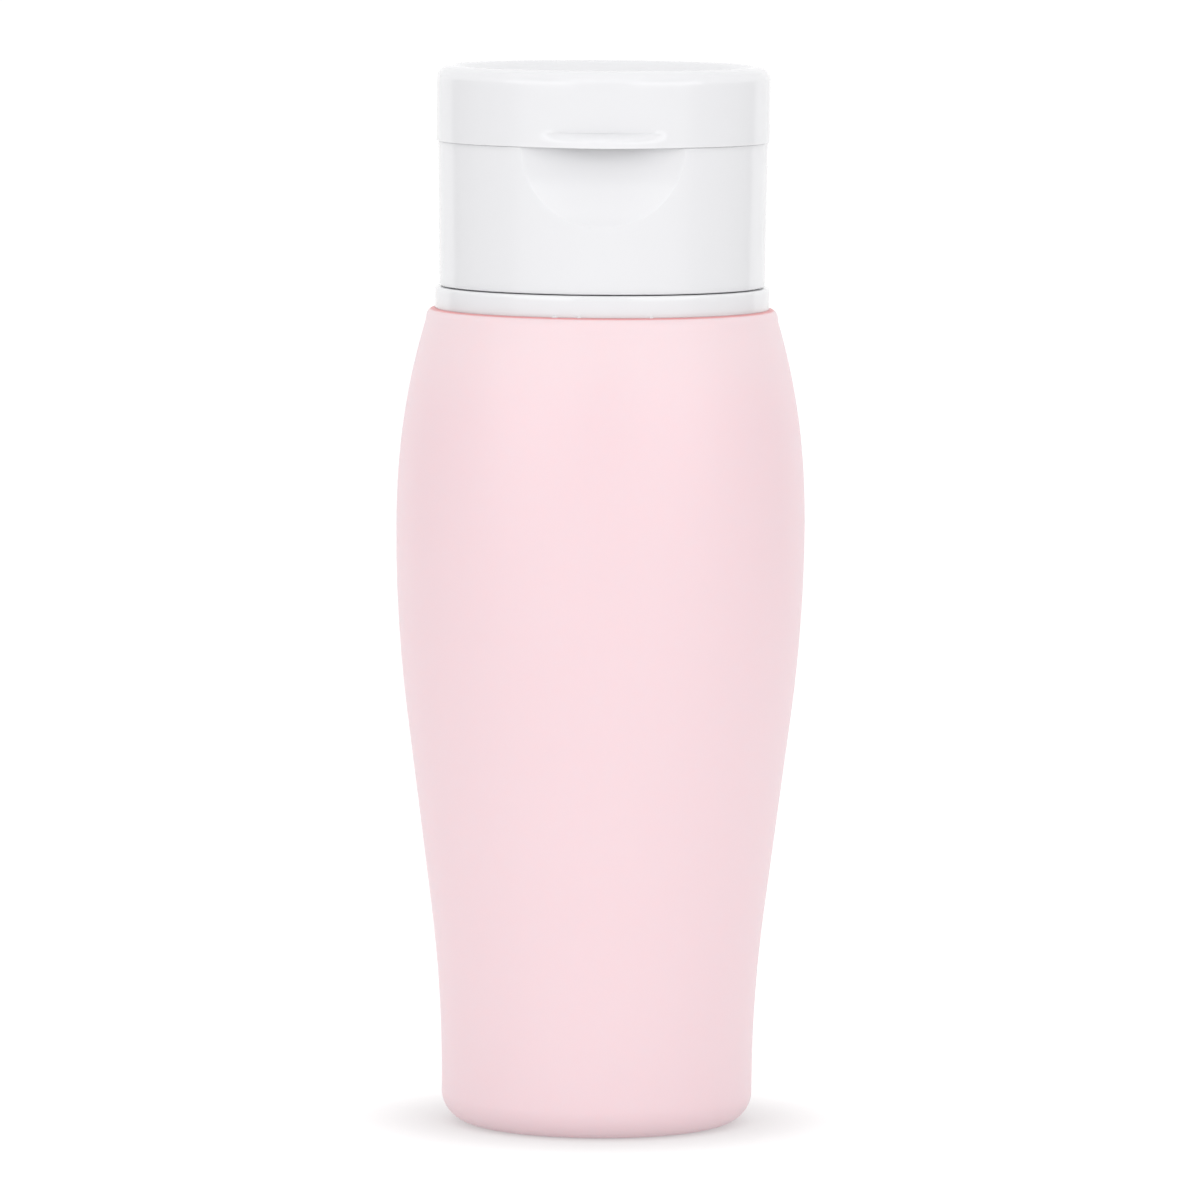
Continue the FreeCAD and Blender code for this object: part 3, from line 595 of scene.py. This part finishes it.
# Shares of the flank's height that its arcs take, and of the swell that the shoulder's first arc takes
BELLY_ARC_SHARE = 0.34
WAIST_ARC_SHARE = 0.32
SHOULDER_ARC_SHARE = 0.32
SHOULDER_FALL_SHARE = 0.09

# Rounds that settle the slope of the straight run, and rows of points up the flank
SLOPE_ROUNDS = 3
FLANK_ROWS = 120

# The flank stops this many mouth rounds below the top, which leaves room for the rounded edge
ROUND_CLEARANCE = 1.5

# Waves of the soft wall: lobes round it, twist in radians for each millimetre up, phase and share
WAVES = ((2, 0.06, 0.0, 0.6), (3, -0.11, 1.3, 0.4))

# The waves fade out over this height at the foot and below the mouth, and leave the axis and the top still
WAVE_FADE = 12.0
STILL_RADIUS = 1.0
STILL_TOP = 10.0


def flank_radius(sizes, height):
    """Outside radius at a height: an arc in at the waist, a straight run, and an arc out at the belly below,
    a gentle arc and a tighter one above, each tangent to the next."""
    belly = BODY_HIGH.x
    if height <= sizes.belly_height:
        whole = sizes.belly_height - sizes.waist_height
        belly_arc, waist_arc = BELLY_ARC_SHARE * whole, WAIST_ARC_SHARE * whole
        run = whole - belly_arc - waist_arc
        taper = belly - sizes.foot_radius
        slant = taper / (whole + run)
        for _ in range(SLOPE_ROUNDS):
            slant = taper / (belly_arc + waist_arc + 2 * run / (1 - slant ** 2))
        sine = 2 * slant / (1 + slant ** 2)
        below = sizes.belly_height - height
        above = height - sizes.waist_height
        if below <= belly_arc:
            radius = belly_arc / sine
            return belly - radius + math.sqrt(radius ** 2 - below ** 2)
        if above <= waist_arc:
            radius = waist_arc / sine
            return sizes.foot_radius + radius - math.sqrt(radius ** 2 - max(above, 0.0) ** 2)
        return sizes.foot_radius + waist_arc * slant + (above - waist_arc) * 2 * slant / (1 - slant ** 2)
    whole = BODY_HIGH.z - sizes.mouth_edge - sizes.belly_height
    swell = belly - sizes.mouth_radius
    ease, drop = SHOULDER_ARC_SHARE * whole, SHOULDER_FALL_SHARE * swell
    half = drop / ease
    sine, cosine = 2 * half / (1 + half ** 2), (1 - half ** 2) / (1 + half ** 2)
    above = height - sizes.belly_height
    if above <= ease:
        radius = ease / sine
        return belly - radius + math.sqrt(radius ** 2 - above ** 2)
    crown, fall = whole - ease, swell - drop
    radius = (crown ** 2 + fall ** 2) / (2 * (fall * cosine - crown * sine))
    return belly - drop - radius * cosine + math.sqrt(radius ** 2 - (above - ease + radius * sine) ** 2)


def strayed(piece, amount):
    """Moves the wall by a hair, in long soft waves, as a soft moulding settles."""
    for vertex in piece.data.vertices:
        flat = Vector((vertex.co.x, vertex.co.y, 0.0))
        if flat.length < STILL_RADIUS * MM:
            continue
        angle = math.atan2(vertex.co.y, vertex.co.x)
        height = vertex.co.z / MM
        fade = min(1.0, height / WAVE_FADE, (BODY_HIGH.z - STILL_TOP - height) / WAVE_FADE)
        wave = 0.0
        for lobes, twist, phase, share in WAVES:
            wave += share * math.sin(lobes * angle + twist * height + phase)
        vertex.co -= flat.normalized() * (amount * MM * max(fade, 0.0) * (1.0 + wave) / 2)


class BOTTLE_OT_silicone_body(bpy.types.Operator):
    """Makes the soft body as one thick skin, open at the mouth"""
    bl_idname = "travel_bottle.silicone_body"
    bl_label = "Silicone body"

    def execute(self, context):
        sizes = context.scene.bottle_body_sizes
        material = moulded_silicone(context.scene.bottle_finishes)
        top = BODY_HIGH.z
        shoulder = top - sizes.mouth_edge
        flank = shoulder - sizes.waist_height
        heights = [sizes.waist_height + flank * row / FLANK_ROWS for row in range(FLANK_ROWS + 1)]
        outside = [(flank_radius(sizes, height), height) for height in heights]
        rise_top = top - ROUND_CLEARANCE * sizes.mouth_round
        rise = [point for point in outside if point[1] < rise_top]
        ease_top = sizes.belly_height + SHOULDER_ARC_SHARE * (shoulder - sizes.belly_height)
        inside = [(radius - sizes.wall, height) for radius, height in reversed(outside) if height < ease_top]
        bead_top = top + sizes.mouth_bead
        seat = top - sizes.collar_room
        corners = [
            (0.0, sizes.recess_depth),
            (sizes.recess_radius, sizes.recess_depth, FULL_ROUND),
            (sizes.recess_radius + sizes.recess_depth, 0.0, FULL_ROUND),
            (sizes.foot_radius, 0.0, sizes.foot_round),
            *rise,
            (sizes.mouth_radius, bead_top, sizes.mouth_round),
            (NECK_HIGH.x + sizes.collar_room, bead_top, sizes.bead_round),
            (NECK_HIGH.x - sizes.bead_slope, seat),
            (sizes.mouth_bore, seat, SOFT_ROUND),
            (sizes.mouth_bore, NECK_LOW.z, FULL_ROUND),
            *inside,
            (sizes.foot_radius - sizes.wall, sizes.floor, sizes.floor_round),
            (0.0, sizes.floor),
        ]
        piece = turned_piece("soft_body", evened(round_corners(corners), BODY_RUN), material)
        strayed(piece, sizes.unevenness)
        finish_piece(piece, "bottle", "pink_silicone", "bottle_body")
        return {"FINISHED"}


# Neck, cap, valve and washer

# Turns of thread on the neck and in the cap
NECK_TURNS = 1.25
CAP_TURNS = 1.0

# Cap's foot up to the middle of the neck's ridge, and up to the foot of the cap's ridge
NECK_THREAD_START = 2.7
CAP_THREAD_START = 0.3

# Barbs of the sleeve: feet above the sleeve's foot, then how far each stands out and its height
BARB_STEPS = (1.3, 3.9)
BARB_DEPTH = 0.5
BARB_HEIGHT = 1.2

# Scraps of flash on the collar: degrees from the front and width, then the depth and height that all have
FLASH_SCRAPS = ((-16.2, 0.75), (-7.8, 0.45), (16.9, 0.5))
FLASH_DEPTH = 0.34
FLASH_HEIGHT = 0.5

# Rows of points down the valve's dome
DOME_ROWS = 16


def thread_ridge(name, sizes, foot, crest, height, turns, material):
    """One right-hand ridge, from its foot radius to its crest radius, its first turn centred at a height."""
    half_root, half_crest = sizes.thread_root / 2, sizes.thread_crest / 2
    corners = [(foot, height - half_root), (crest, height - half_crest, EDGE_ROUND),
               (crest, height + half_crest, EDGE_ROUND), (foot, height + half_root)]
    points = closed_loop(round_corners(corners, FINE_ARC_STEP))
    return turned_piece(name, points, material, round(THREAD_STEPS * turns), turns, sizes.thread_lead)


def collar_flash(radius, height, material):
    """Three scraps of flash on the collar's lower edge, each a ball of 1 mm that is drawn to its size."""
    scraps = []
    for bearing, width in FLASH_SCRAPS:
        turn = Matrix.Rotation(math.radians(bearing), 4, "Z")
        spot = turn @ Vector((0.0, -radius, 0.0)) * MM + Vector((0.0, 0.0, height * MM))
        shape = Matrix.Diagonal((width, FLASH_DEPTH, FLASH_HEIGHT, 1.0))
        work = bmesh.new()
        bmesh.ops.create_icosphere(work, subdivisions=3, radius=0.5 * MM,
                                   matrix=Matrix.Translation(spot) @ turn @ shape)
        mesh = bpy.data.meshes.new(f"flash{bearing}")
        work.to_mesh(mesh)
        work.free()
        mesh.materials.append(material)
        scrap = bpy.data.objects.new(mesh.name, mesh)
        bpy.context.scene.collection.objects.link(scrap)
        scraps.append(scrap)
    return scraps


def dome_arc(radius, crown, foot):
    """Points of an arc that falls from its crown on the axis to a radius at its foot."""
    rise = crown - foot
    arc = (radius ** 2 + rise ** 2) / (2 * rise)
    reaches = [radius * row / DOME_ROWS for row in range(DOME_ROWS + 1)]
    return [(reach, crown - arc + math.sqrt(arc ** 2 - reach ** 2)) for reach in reaches]


class BOTTLE_OT_threaded_neck(bpy.types.Operator):
    """Makes the hard neck: barbed sleeve, collar and thread"""
    bl_idname = "travel_bottle.threaded_neck"
    bl_label = "Threaded neck"

    def execute(self, context):
        sizes = context.scene.bottle_cap_sizes
        material = moulded_polypropylene(context.scene.bottle_finishes)
        foot, top = NECK_LOW.z, NECK_HIGH.z
        body_top = BODY_HIGH.z
        collar_top = body_top + sizes.collar_thickness
        collar = NECK_HIGH.x
        sleeve = sizes.sleeve_radius
        barbs = []
        for step in BARB_STEPS:
            barb_foot = foot + step
            barb_top = barb_foot + BARB_HEIGHT
            tip = sleeve + BARB_DEPTH
            barbs += [(sleeve, barb_foot), (tip, barb_top, FINE_ROUND), (sleeve, barb_top)]
        corners = [
            (sizes.neck_bore, foot), (sleeve, foot, SOFT_ROUND), *barbs, (sleeve, body_top),
            (collar, body_top, sizes.collar_foot_round), (collar, collar_top, sizes.collar_round),
            (sizes.neck_root, collar_top, EDGE_ROUND), (sizes.neck_root, top, FULL_ROUND),
            (sizes.neck_bore, top, FULL_ROUND), (sizes.neck_bore, (foot + top) / 2),
        ]
        piece = turned_piece("threaded_neck", evened(closed_loop(round_corners(corners)), FINE_RUN), material)
        ridge_foot, ridge_crest = sizes.neck_root - OVERLAP, sizes.neck_root + sizes.thread_depth
        ridge_height = CAP_LOW.z + NECK_THREAD_START
        ridge = thread_ridge("neck_ridge", sizes, ridge_foot, ridge_crest, ridge_height, NECK_TURNS, material)
        combined(piece, "UNION", ridge, *collar_flash(collar, body_top, material))
        finish_piece(piece, "bottle", "white_polypropylene", "neck_fitting")
        return {"FINISHED"}


class BOTTLE_OT_screw_cap(bpy.types.Operator):
    """Makes the screw cap: skirt, thread, deck, valve boss, thumb scoop and hinge ears"""
    bl_idname = "travel_bottle.screw_cap"
    bl_label = "Screw cap"

    def execute(self, context):
        sizes = context.scene.bottle_cap_sizes
        lid = context.scene.bottle_lid_sizes
        material = moulded_polypropylene(context.scene.bottle_finishes)
        foot, top = CAP_LOW.z, CAP_TOP
        deck = WASHER_HIGH.z + FIT
        deck_top = deck + sizes.deck_thickness
        spigot = sizes.well_radius + sizes.spigot_wall
        spigot_top = top + sizes.spigot_height
        boss = VALVE_HIGH.x + FIT
        boss_outside = boss + sizes.boss_wall
        snap = boss - sizes.snap_depth
        snap_top = RING_LOW.z - FIT
        snap_foot = snap_top - sizes.snap_height
        corners = [
            (sizes.skirt_bore, (foot + top) / 2), (sizes.skirt_bore, foot, SOFT_ROUND),
            (sizes.foot_radius, foot, EDGE_ROUND), (sizes.top_radius, top, SEAM_ROUND),
            (spigot, top, SMALL_ROUND), (spigot, spigot_top, SOFT_ROUND),
            (sizes.well_radius, spigot_top, SOFT_ROUND), (sizes.well_radius, deck_top, sizes.well_round),
            (sizes.opening_radius, deck_top, SOFT_ROUND), (sizes.opening_radius, deck, FINE_ROUND),
            (boss, deck), (boss, snap_top), (snap, snap_top, FINE_ROUND), (snap, snap_foot, FINE_ROUND),
            (boss_outside, snap_foot, SOFT_ROUND), (boss_outside, deck, FULL_ROUND),
            (sizes.skirt_bore, deck, SOFT_ROUND),
        ]
        piece = turned_piece("screw_cap", evened(closed_loop(round_corners(corners)), FINE_RUN), material)
        ridge_foot, ridge_crest = sizes.skirt_bore + OVERLAP, sizes.skirt_bore - sizes.thread_depth
        ridge_height = foot + CAP_THREAD_START + sizes.thread_root / 2
        ridge = thread_ridge("cap_ridge", sizes, ridge_foot, ridge_crest, ridge_height, CAP_TURNS, material)
        ears = []
        ear_low, ear_high = lid.knuckle_half + lid.barrel_room, PIN_HIGH.x
        gusset_foot = HINGE_HEIGHT - sizes.gusset_height
        gusset = [Vector(point) for point in (
            (spigot, top), (spigot, gusset_foot), (sizes.foot_radius, gusset_foot),
            (HINGE_REACH + lid.barrel_radius, HINGE_HEIGHT), (HINGE_REACH, HINGE_HEIGHT))]
        for side in (-1, 1):
            low, high = sorted((side * ear_low, side * ear_high))
            ears.append(along_x(f"ear{side}", hinge_circle(lid.barrel_radius), low, high, material))
            ears.append(along_x(f"gusset{side}", gusset, low, high, material))
        combined(piece, "UNION", ridge, *ears)
        scoop_axis = -(sizes.top_radius - sizes.scoop_depth + sizes.scoop_radius)
        scoop_outline = circle(scoop_axis, HINGE_HEIGHT, sizes.scoop_radius, SCOOP_STEPS)
        reach = sizes.top_radius + OVERRUN
        scoop = along_x("scoop", scoop_outline, -reach, reach, material)
        room_outline = hinge_circle(lid.barrel_radius + lid.barrel_room)
        room = along_x("room", room_outline, -ear_low, ear_low, material)
        hole = along_x("hole", hinge_circle(PIN_RADIUS + lid.pin_seat, HOLE_STEPS), -reach, reach, material)
        combined(piece, "DIFFERENCE", scoop, room, hole)
        finish_piece(piece, "cap", "white_polypropylene", "cap_base")
        return {"FINISHED"}


class BOTTLE_OT_valve_and_seals(bpy.types.Operator):
    """Makes the slit valve, the ring that clamps it and the washer"""
    bl_idname = "travel_bottle.valve_and_seals"
    bl_label = "Valve and seals"

    def execute(self, context):
        sizes = context.scene.bottle_cap_sizes
        finishes = context.scene.bottle_finishes
        clear = clear_silicone(finishes)
        white = moulded_polypropylene(finishes)
        flange, foot = VALVE_HIGH.x, VALVE_LOW.z
        flange_top = WASHER_HIGH.z
        dome, crown = sizes.opening_radius - sizes.valve_room, VALVE_HIGH.z
        inside = dome_arc(dome - sizes.valve_wall, crown - sizes.valve_wall, foot)
        corners = [*dome_arc(dome, crown, flange_top), (flange, flange_top, EDGE_ROUND),
                   (flange, foot, EDGE_ROUND), *reversed(inside)]
        valve = turned_piece("drip_valve", round_corners(corners), clear, NARROW_STEPS)
        arm, half = sizes.slit_half_length, sizes.slit_half_width
        low, high = foot - OVERRUN, crown + OVERRUN
        for name, wide, deep in (("slit_a", arm, half), ("slit_b", half, arm)):
            outline = [Vector(point) for point in ((-deep, low), (deep, low), (deep, high), (-deep, high))]
            combined(valve, "DIFFERENCE", along_x(name, outline, -wide, wide, clear))
        finish_piece(valve, "cap", "clear_silicone", "slit_valve")
        hole = sizes.opening_radius - sizes.ring_overlap
        corners = [(hole, (RING_LOW.z + RING_HIGH.z) / 2), (hole, RING_LOW.z, SOFT_ROUND),
                   (RING_HIGH.x, RING_LOW.z, EDGE_ROUND), (RING_HIGH.x, RING_HIGH.z, FINE_ROUND),
                   (hole, RING_HIGH.z, FINE_ROUND)]
        ring = turned_piece("valve_ring", closed_loop(round_corners(corners)), white, NARROW_STEPS)
        finish_piece(ring, "cap", "white_polypropylene", "valve_retainer")
        hole = sizes.neck_bore + sizes.washer_room
        corners = [(hole, (WASHER_LOW.z + WASHER_HIGH.z) / 2), (hole, WASHER_LOW.z, SMALL_ROUND),
                   (WASHER_HIGH.x, WASHER_LOW.z, SMALL_ROUND), (WASHER_HIGH.x, WASHER_HIGH.z, SMALL_ROUND),
                   (hole, WASHER_HIGH.z, SMALL_ROUND)]
        washer = turned_piece("sealing_washer", closed_loop(round_corners(corners, FINE_ARC_STEP)), clear)
        finish_piece(washer, "cap_seal", "clear_silicone", "cap_gasket")
        return {"FINISHED"}


# Lid and pin

# Rows of points down the dish and up the thumb lip
DISH_ROWS = 24
LIP_ROWS = 24

# Power that draws the ends of the lip thin
LIP_TAPER = 1.35

# The rim's round takes this share of its room, so that it ends a hair before the slope starts
RIM_ROUND_SHARE = 0.999


def draw_out_lip(piece, sizes):
    """Draws the lid's wall out into the thumb lip: an arc from above, upright in front and rounded on top."""
    reach = -LID_LOW.y
    chord = math.sqrt(sizes.radius ** 2 - sizes.lip_half_width ** 2)
    sagitta = reach - chord
    arc_radius = (sizes.lip_half_width ** 2 + sagitta ** 2) / (2 * sagitta)
    arc_centre = arc_radius - reach
    for vertex in piece.data.vertices:
        spot = vertex.co / MM
        radius = spot.xy.length
        if spot.y >= 0.0 or radius < sizes.radius - SEAM_ROUND - MERGE_DISTANCE:
            continue
        along = arc_centre * spot.y / radius
        arc = along + math.sqrt(max(0.0, arc_radius ** 2 - arc_centre ** 2 + along ** 2))
        share = (spot.z - LID_FOOT - sizes.lip_front) / (sizes.lip_height - sizes.lip_front)
        share = min(1.0, max(0.0, share))
        out_share = max(0.0, arc - sizes.radius) / (reach - sizes.radius)
        drawn = (reach - sizes.radius) * out_share ** LIP_TAPER * (1.0 - share * share)
        vertex.co.x *= 1.0 + drawn / radius
        vertex.co.y *= 1.0 + drawn / radius


class BOTTLE_OT_lid(bpy.types.Operator):
    """Makes the flip lid: raised rim, dish, thumb lip, plug and knuckle"""
    bl_idname = "travel_bottle.lid"
    bl_label = "Flip lid"

    def execute(self, context):
        sizes = context.scene.bottle_lid_sizes
        material = moulded_polypropylene(context.scene.bottle_finishes)
        crest = LID_HIGH.z
        floor = crest - sizes.dish_depth
        rim = sizes.radius - sizes.rim_round
        slope = []
        for row in range(DISH_ROWS + 1):
            share = row / DISH_ROWS
            fall = sizes.dish_depth * (1 - math.cos(math.pi * share)) / 2
            slope.append((rim - sizes.dish_slope * share, crest - fall))
        # The wall has close rows of points as high as the lip, which is drawn out of it
        row_height = sizes.lip_height / LIP_ROWS
        rows = [(sizes.radius, LID_FOOT + row_height * row) for row in range(1, LIP_ROWS + 1)]
        corners = [(0.0, LID_FOOT), (sizes.radius, LID_FOOT, SEAM_ROUND), *rows,
                   (sizes.radius, crest, sizes.rim_round * RIM_ROUND_SHARE), *slope, (0.0, floor)]
        piece = turned_piece("lid", evened(round_corners(corners), FINE_RUN), material)
        draw_out_lip(piece, sizes)
        inner = sizes.radius - sizes.wall
        roof = floor - sizes.roof
        cut_foot = LID_FOOT - OVERRUN
        corners = [(0.0, cut_foot), (inner, cut_foot), (inner, roof, sizes.roof_round), (0.0, roof)]
        hollow = turned_piece("hollow", evened(round_corners(corners), FINE_RUN), material)
        room_outline = hinge_circle(sizes.barrel_radius + sizes.barrel_room)
        room_half = PIN_HIGH.x + sizes.barrel_room
        room = along_x("room", room_outline, -room_half, room_half, material)
        combined(piece, "DIFFERENCE", hollow, room)
        plug_hole, plug_top = sizes.plug_radius - sizes.plug_wall, roof + OVERLAP
        corners = [(plug_hole, (LID_LOW.z + roof) / 2), (plug_hole, LID_LOW.z, SOFT_ROUND),
                   (sizes.plug_radius, LID_LOW.z, SOFT_ROUND), (sizes.plug_radius, plug_top),
                   (plug_hole, plug_top)]
        plug_outline = closed_loop(round_corners(corners, FINE_ARC_STEP))
        plug = turned_piece("plug", plug_outline, material, NARROW_STEPS)
        half = sizes.knuckle_half
        knuckle = along_x("knuckle", hinge_circle(sizes.barrel_radius), -half, half, material)
        web_top = HINGE_HEIGHT + sizes.web_height
        web_outline = [Vector(point) for point in (
            (inner, LID_FOOT), (HINGE_REACH, LID_FOOT), (HINGE_REACH + sizes.barrel_radius, HINGE_HEIGHT),
            (sizes.radius, web_top), (inner, web_top))]
        web = along_x("web", web_outline, -half, half, material)
        combined(piece, "UNION", plug, knuckle, web)
        hole_half = half + OVERRUN
        hole_outline = hinge_circle(PIN_RADIUS + sizes.pin_play, HOLE_STEPS)
        hole = along_x("hole", hole_outline, -hole_half, hole_half, material)
        combined(piece, "DIFFERENCE", hole)
        finish_piece(piece, "lid", "white_polypropylene", "flip_lid")
        return {"FINISHED"}


class BOTTLE_OT_hinge_pin(bpy.types.Operator):
    """Gives the frame's hinge pin its steel"""
    bl_idname = "travel_bottle.hinge_pin"
    bl_label = "Hinge pin"

    def execute(self, context):
        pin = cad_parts["hinge_pin"]
        pin.data.materials.clear()
        pin.data.materials.append(drawn_steel(context.scene.bottle_finishes))
        return {"FINISHED"}


# Stage

# Half the floor's side and the end of the camera's view, in metres
FLOOR_HALF = 12.0
VIEW_END = 50.0

# Bearings between which the room's front turns into its sides, and its sides into its back
FRONT_EDGE = (math.radians(45), math.radians(75))
BACK_EDGE = (math.radians(126), math.radians(128))

# Sines of the elevations between which its walls turn into its ceiling
CEILING_EDGE = (math.sin(math.radians(40)), math.sin(math.radians(55)))


def panel_light(name, radiance, size, azimuth, elevation, distance, target):
    """A soft panel that looks at a point. Azimuth 0 is the camera's side, positive to the right."""
    data = bpy.data.lights.new(name, "AREA")
    data.shape = "RECTANGLE"
    data.size, data.size_y = size
    data.energy = radiance * math.pi * size[0] * size[1]
    light = bpy.data.objects.new(name, data)
    turn, lift = math.radians(azimuth), math.radians(elevation)
    way = Vector((math.sin(turn) * math.cos(lift), -math.cos(turn) * math.cos(lift), math.sin(lift)))
    light.location = target + way * distance
    light.rotation_euler = way.to_track_quat("Z", "Y").to_euler()
    light.visible_camera = False
    bpy.context.scene.collection.objects.link(light)


def side_board(name, side, settings):
    """A low grey board beside the bottle, out of the picture, that gives the white cap its edges."""
    far, along, high = settings.board_distance, settings.board_half, settings.board_height
    middle = math.radians(settings.board_bearing)
    way = Vector((side * math.sin(middle), -math.cos(middle), 0.0))
    across = Vector((-way.y, way.x, 0.0))
    feet = [way * far - across * along, way * far + across * along]
    rise = Vector((0.0, 0.0, high))
    mesh = bpy.data.meshes.new(name)
    mesh.from_pydata([*feet, feet[1] + rise, feet[0] + rise], [], [(0, 1, 2, 3)])
    mesh.materials.append(grey_card(bpy.context.scene.bottle_finishes))
    board = bpy.data.objects.new(name, mesh)
    board.visible_camera = False
    bpy.context.scene.collection.objects.link(board)
    return board


def white_room(settings):
    """A world that is bright overhead, at the sides and behind, and dimmer on the camera's side."""
    world = bpy.data.worlds.new("white room")
    world.use_nodes = True
    tree = world.node_tree
    tree.nodes.clear()
    generated = node(tree, "ShaderNodeTexCoord").outputs["Generated"]
    way = node(tree, "ShaderNodeSeparateXYZ", {0: generated}).outputs
    ahead = maths(tree, "MULTIPLY", way["Y"], -1.0)
    azimuth = maths(tree, "ABSOLUTE", maths(tree, "ARCTAN2", way["X"], ahead))
    side = mapped(tree, azimuth, *FRONT_EDGE, settings.front, settings.sides, "SMOOTHSTEP")
    behind = mapped(tree, azimuth, *BACK_EDGE, 0.0, 1.0)
    walls = node(tree, "ShaderNodeMix", {"Factor": behind, "A": side, "B": settings.backdrop})
    above = mapped(tree, way["Z"], *CEILING_EDGE, 0.0, 1.0, "SMOOTHSTEP")
    light = node(tree, "ShaderNodeMix", {
        "Factor": above, "A": walls.outputs["Result"], "B": settings.overhead}).outputs["Result"]
    background = node(tree, "ShaderNodeBackground", {"Strength": light}).outputs[0]
    node(tree, "ShaderNodeOutputWorld", {"Surface": background})
    return world


class BOTTLE_OT_stage(bpy.types.Operator):
    """Makes the floor, the soft panels, the side boards, the white room and the camera"""
    bl_idname = "travel_bottle.stage"
    bl_label = "Stage"

    def execute(self, context):
        scene = context.scene
        settings = scene.bottle_stage
        half = FLOOR_HALF
        mesh = bpy.data.meshes.new("floor")
        corners = [(-half, -half, 0), (half, -half, 0), (half, half, 0), (-half, half, 0)]
        mesh.from_pydata(corners, [], [(0, 1, 2, 3)])
        mesh.materials.append(pale_floor(scene.bottle_finishes))
        floor = bpy.data.objects.new("floor", mesh)
        scene.collection.objects.link(floor)
        target = Vector((0.0, 0.0, settings.target_height))
        softbox_size = (settings.softbox_width, settings.softbox_height)
        for side in (-1, 1):
            panel_light(f"softbox{side}", settings.softbox, softbox_size, side * settings.softbox_bearing,
                        settings.softbox_elevation, settings.panel_distance, target)
            side_board(f"side board{side}", side, settings)
        boom_size = (settings.boom_width, settings.boom_height)
        panel_light("boom", settings.boom, boom_size, 0.0, settings.boom_elevation,
                    settings.panel_distance, target)
        scene.world = white_room(settings)
        scene.view_settings.view_transform = "Standard"
        data = bpy.data.cameras.new("camera")
        data.lens = settings.lens
        data.sensor_width = settings.sensor
        data.clip_end = VIEW_END
        camera = bpy.data.objects.new("camera", data)
        aim = Matrix.Rotation(math.pi / 2 - settings.pitch, 4, "X") @ Matrix.Rotation(settings.roll, 4, "Z")
        camera.matrix_world = Matrix.Translation((0.0, -settings.distance, settings.height)) @ aim
        scene.collection.objects.link(camera)
        scene.camera = camera
        return {"FINISHED"}


class BOTTLE_PT_panel(bpy.types.Panel):
    """Lists the bottle's sizes, finishes and steps"""
    bl_idname = "BOTTLE_PT_panel"
    bl_label = "Travel squeeze bottle"
    bl_space_type = "VIEW_3D"
    bl_region_type = "UI"
    bl_category = "Bottle"

    def draw(self, context):
        for group in GROUPS:
            box = self.layout.box()
            settings = getattr(context.scene, group)
            for name in settings.bl_rna.properties.keys():
                if name not in ("rna_type", "name"):
                    box.prop(settings, name)
        for step in STEPS:
            self.layout.operator(step.bl_idname)


GROUPS = {
    "bottle_body_sizes": BodySizes,
    "bottle_cap_sizes": CapSizes,
    "bottle_lid_sizes": LidSizes,
    "bottle_finishes": Finishes,
    "bottle_stage": StageSettings,
}
STEPS = (BOTTLE_OT_silicone_body, BOTTLE_OT_threaded_neck, BOTTLE_OT_screw_cap, BOTTLE_OT_valve_and_seals,
         BOTTLE_OT_lid, BOTTLE_OT_hinge_pin, BOTTLE_OT_stage)


def register():
    for name, group in GROUPS.items():
        bpy.utils.register_class(group)
        setattr(bpy.types.Scene, name, bpy.props.PointerProperty(type=group))
    for step in STEPS:
        bpy.utils.register_class(step)
    bpy.utils.register_class(BOTTLE_PT_panel)


def unregister():
    bpy.utils.unregister_class(BOTTLE_PT_panel)
    for step in reversed(STEPS):
        bpy.utils.unregister_class(step)
    for name, group in reversed(GROUPS.items()):
        delattr(bpy.types.Scene, name)
        bpy.utils.unregister_class(group)


def main():
    register()
    bpy.ops.travel_bottle.silicone_body()
    bpy.ops.travel_bottle.threaded_neck()
    bpy.ops.travel_bottle.screw_cap()
    bpy.ops.travel_bottle.valve_and_seals()
    bpy.ops.travel_bottle.lid()
    bpy.ops.travel_bottle.hinge_pin()
    bpy.ops.travel_bottle.stage()


if __name__ == "__main__":
    main()
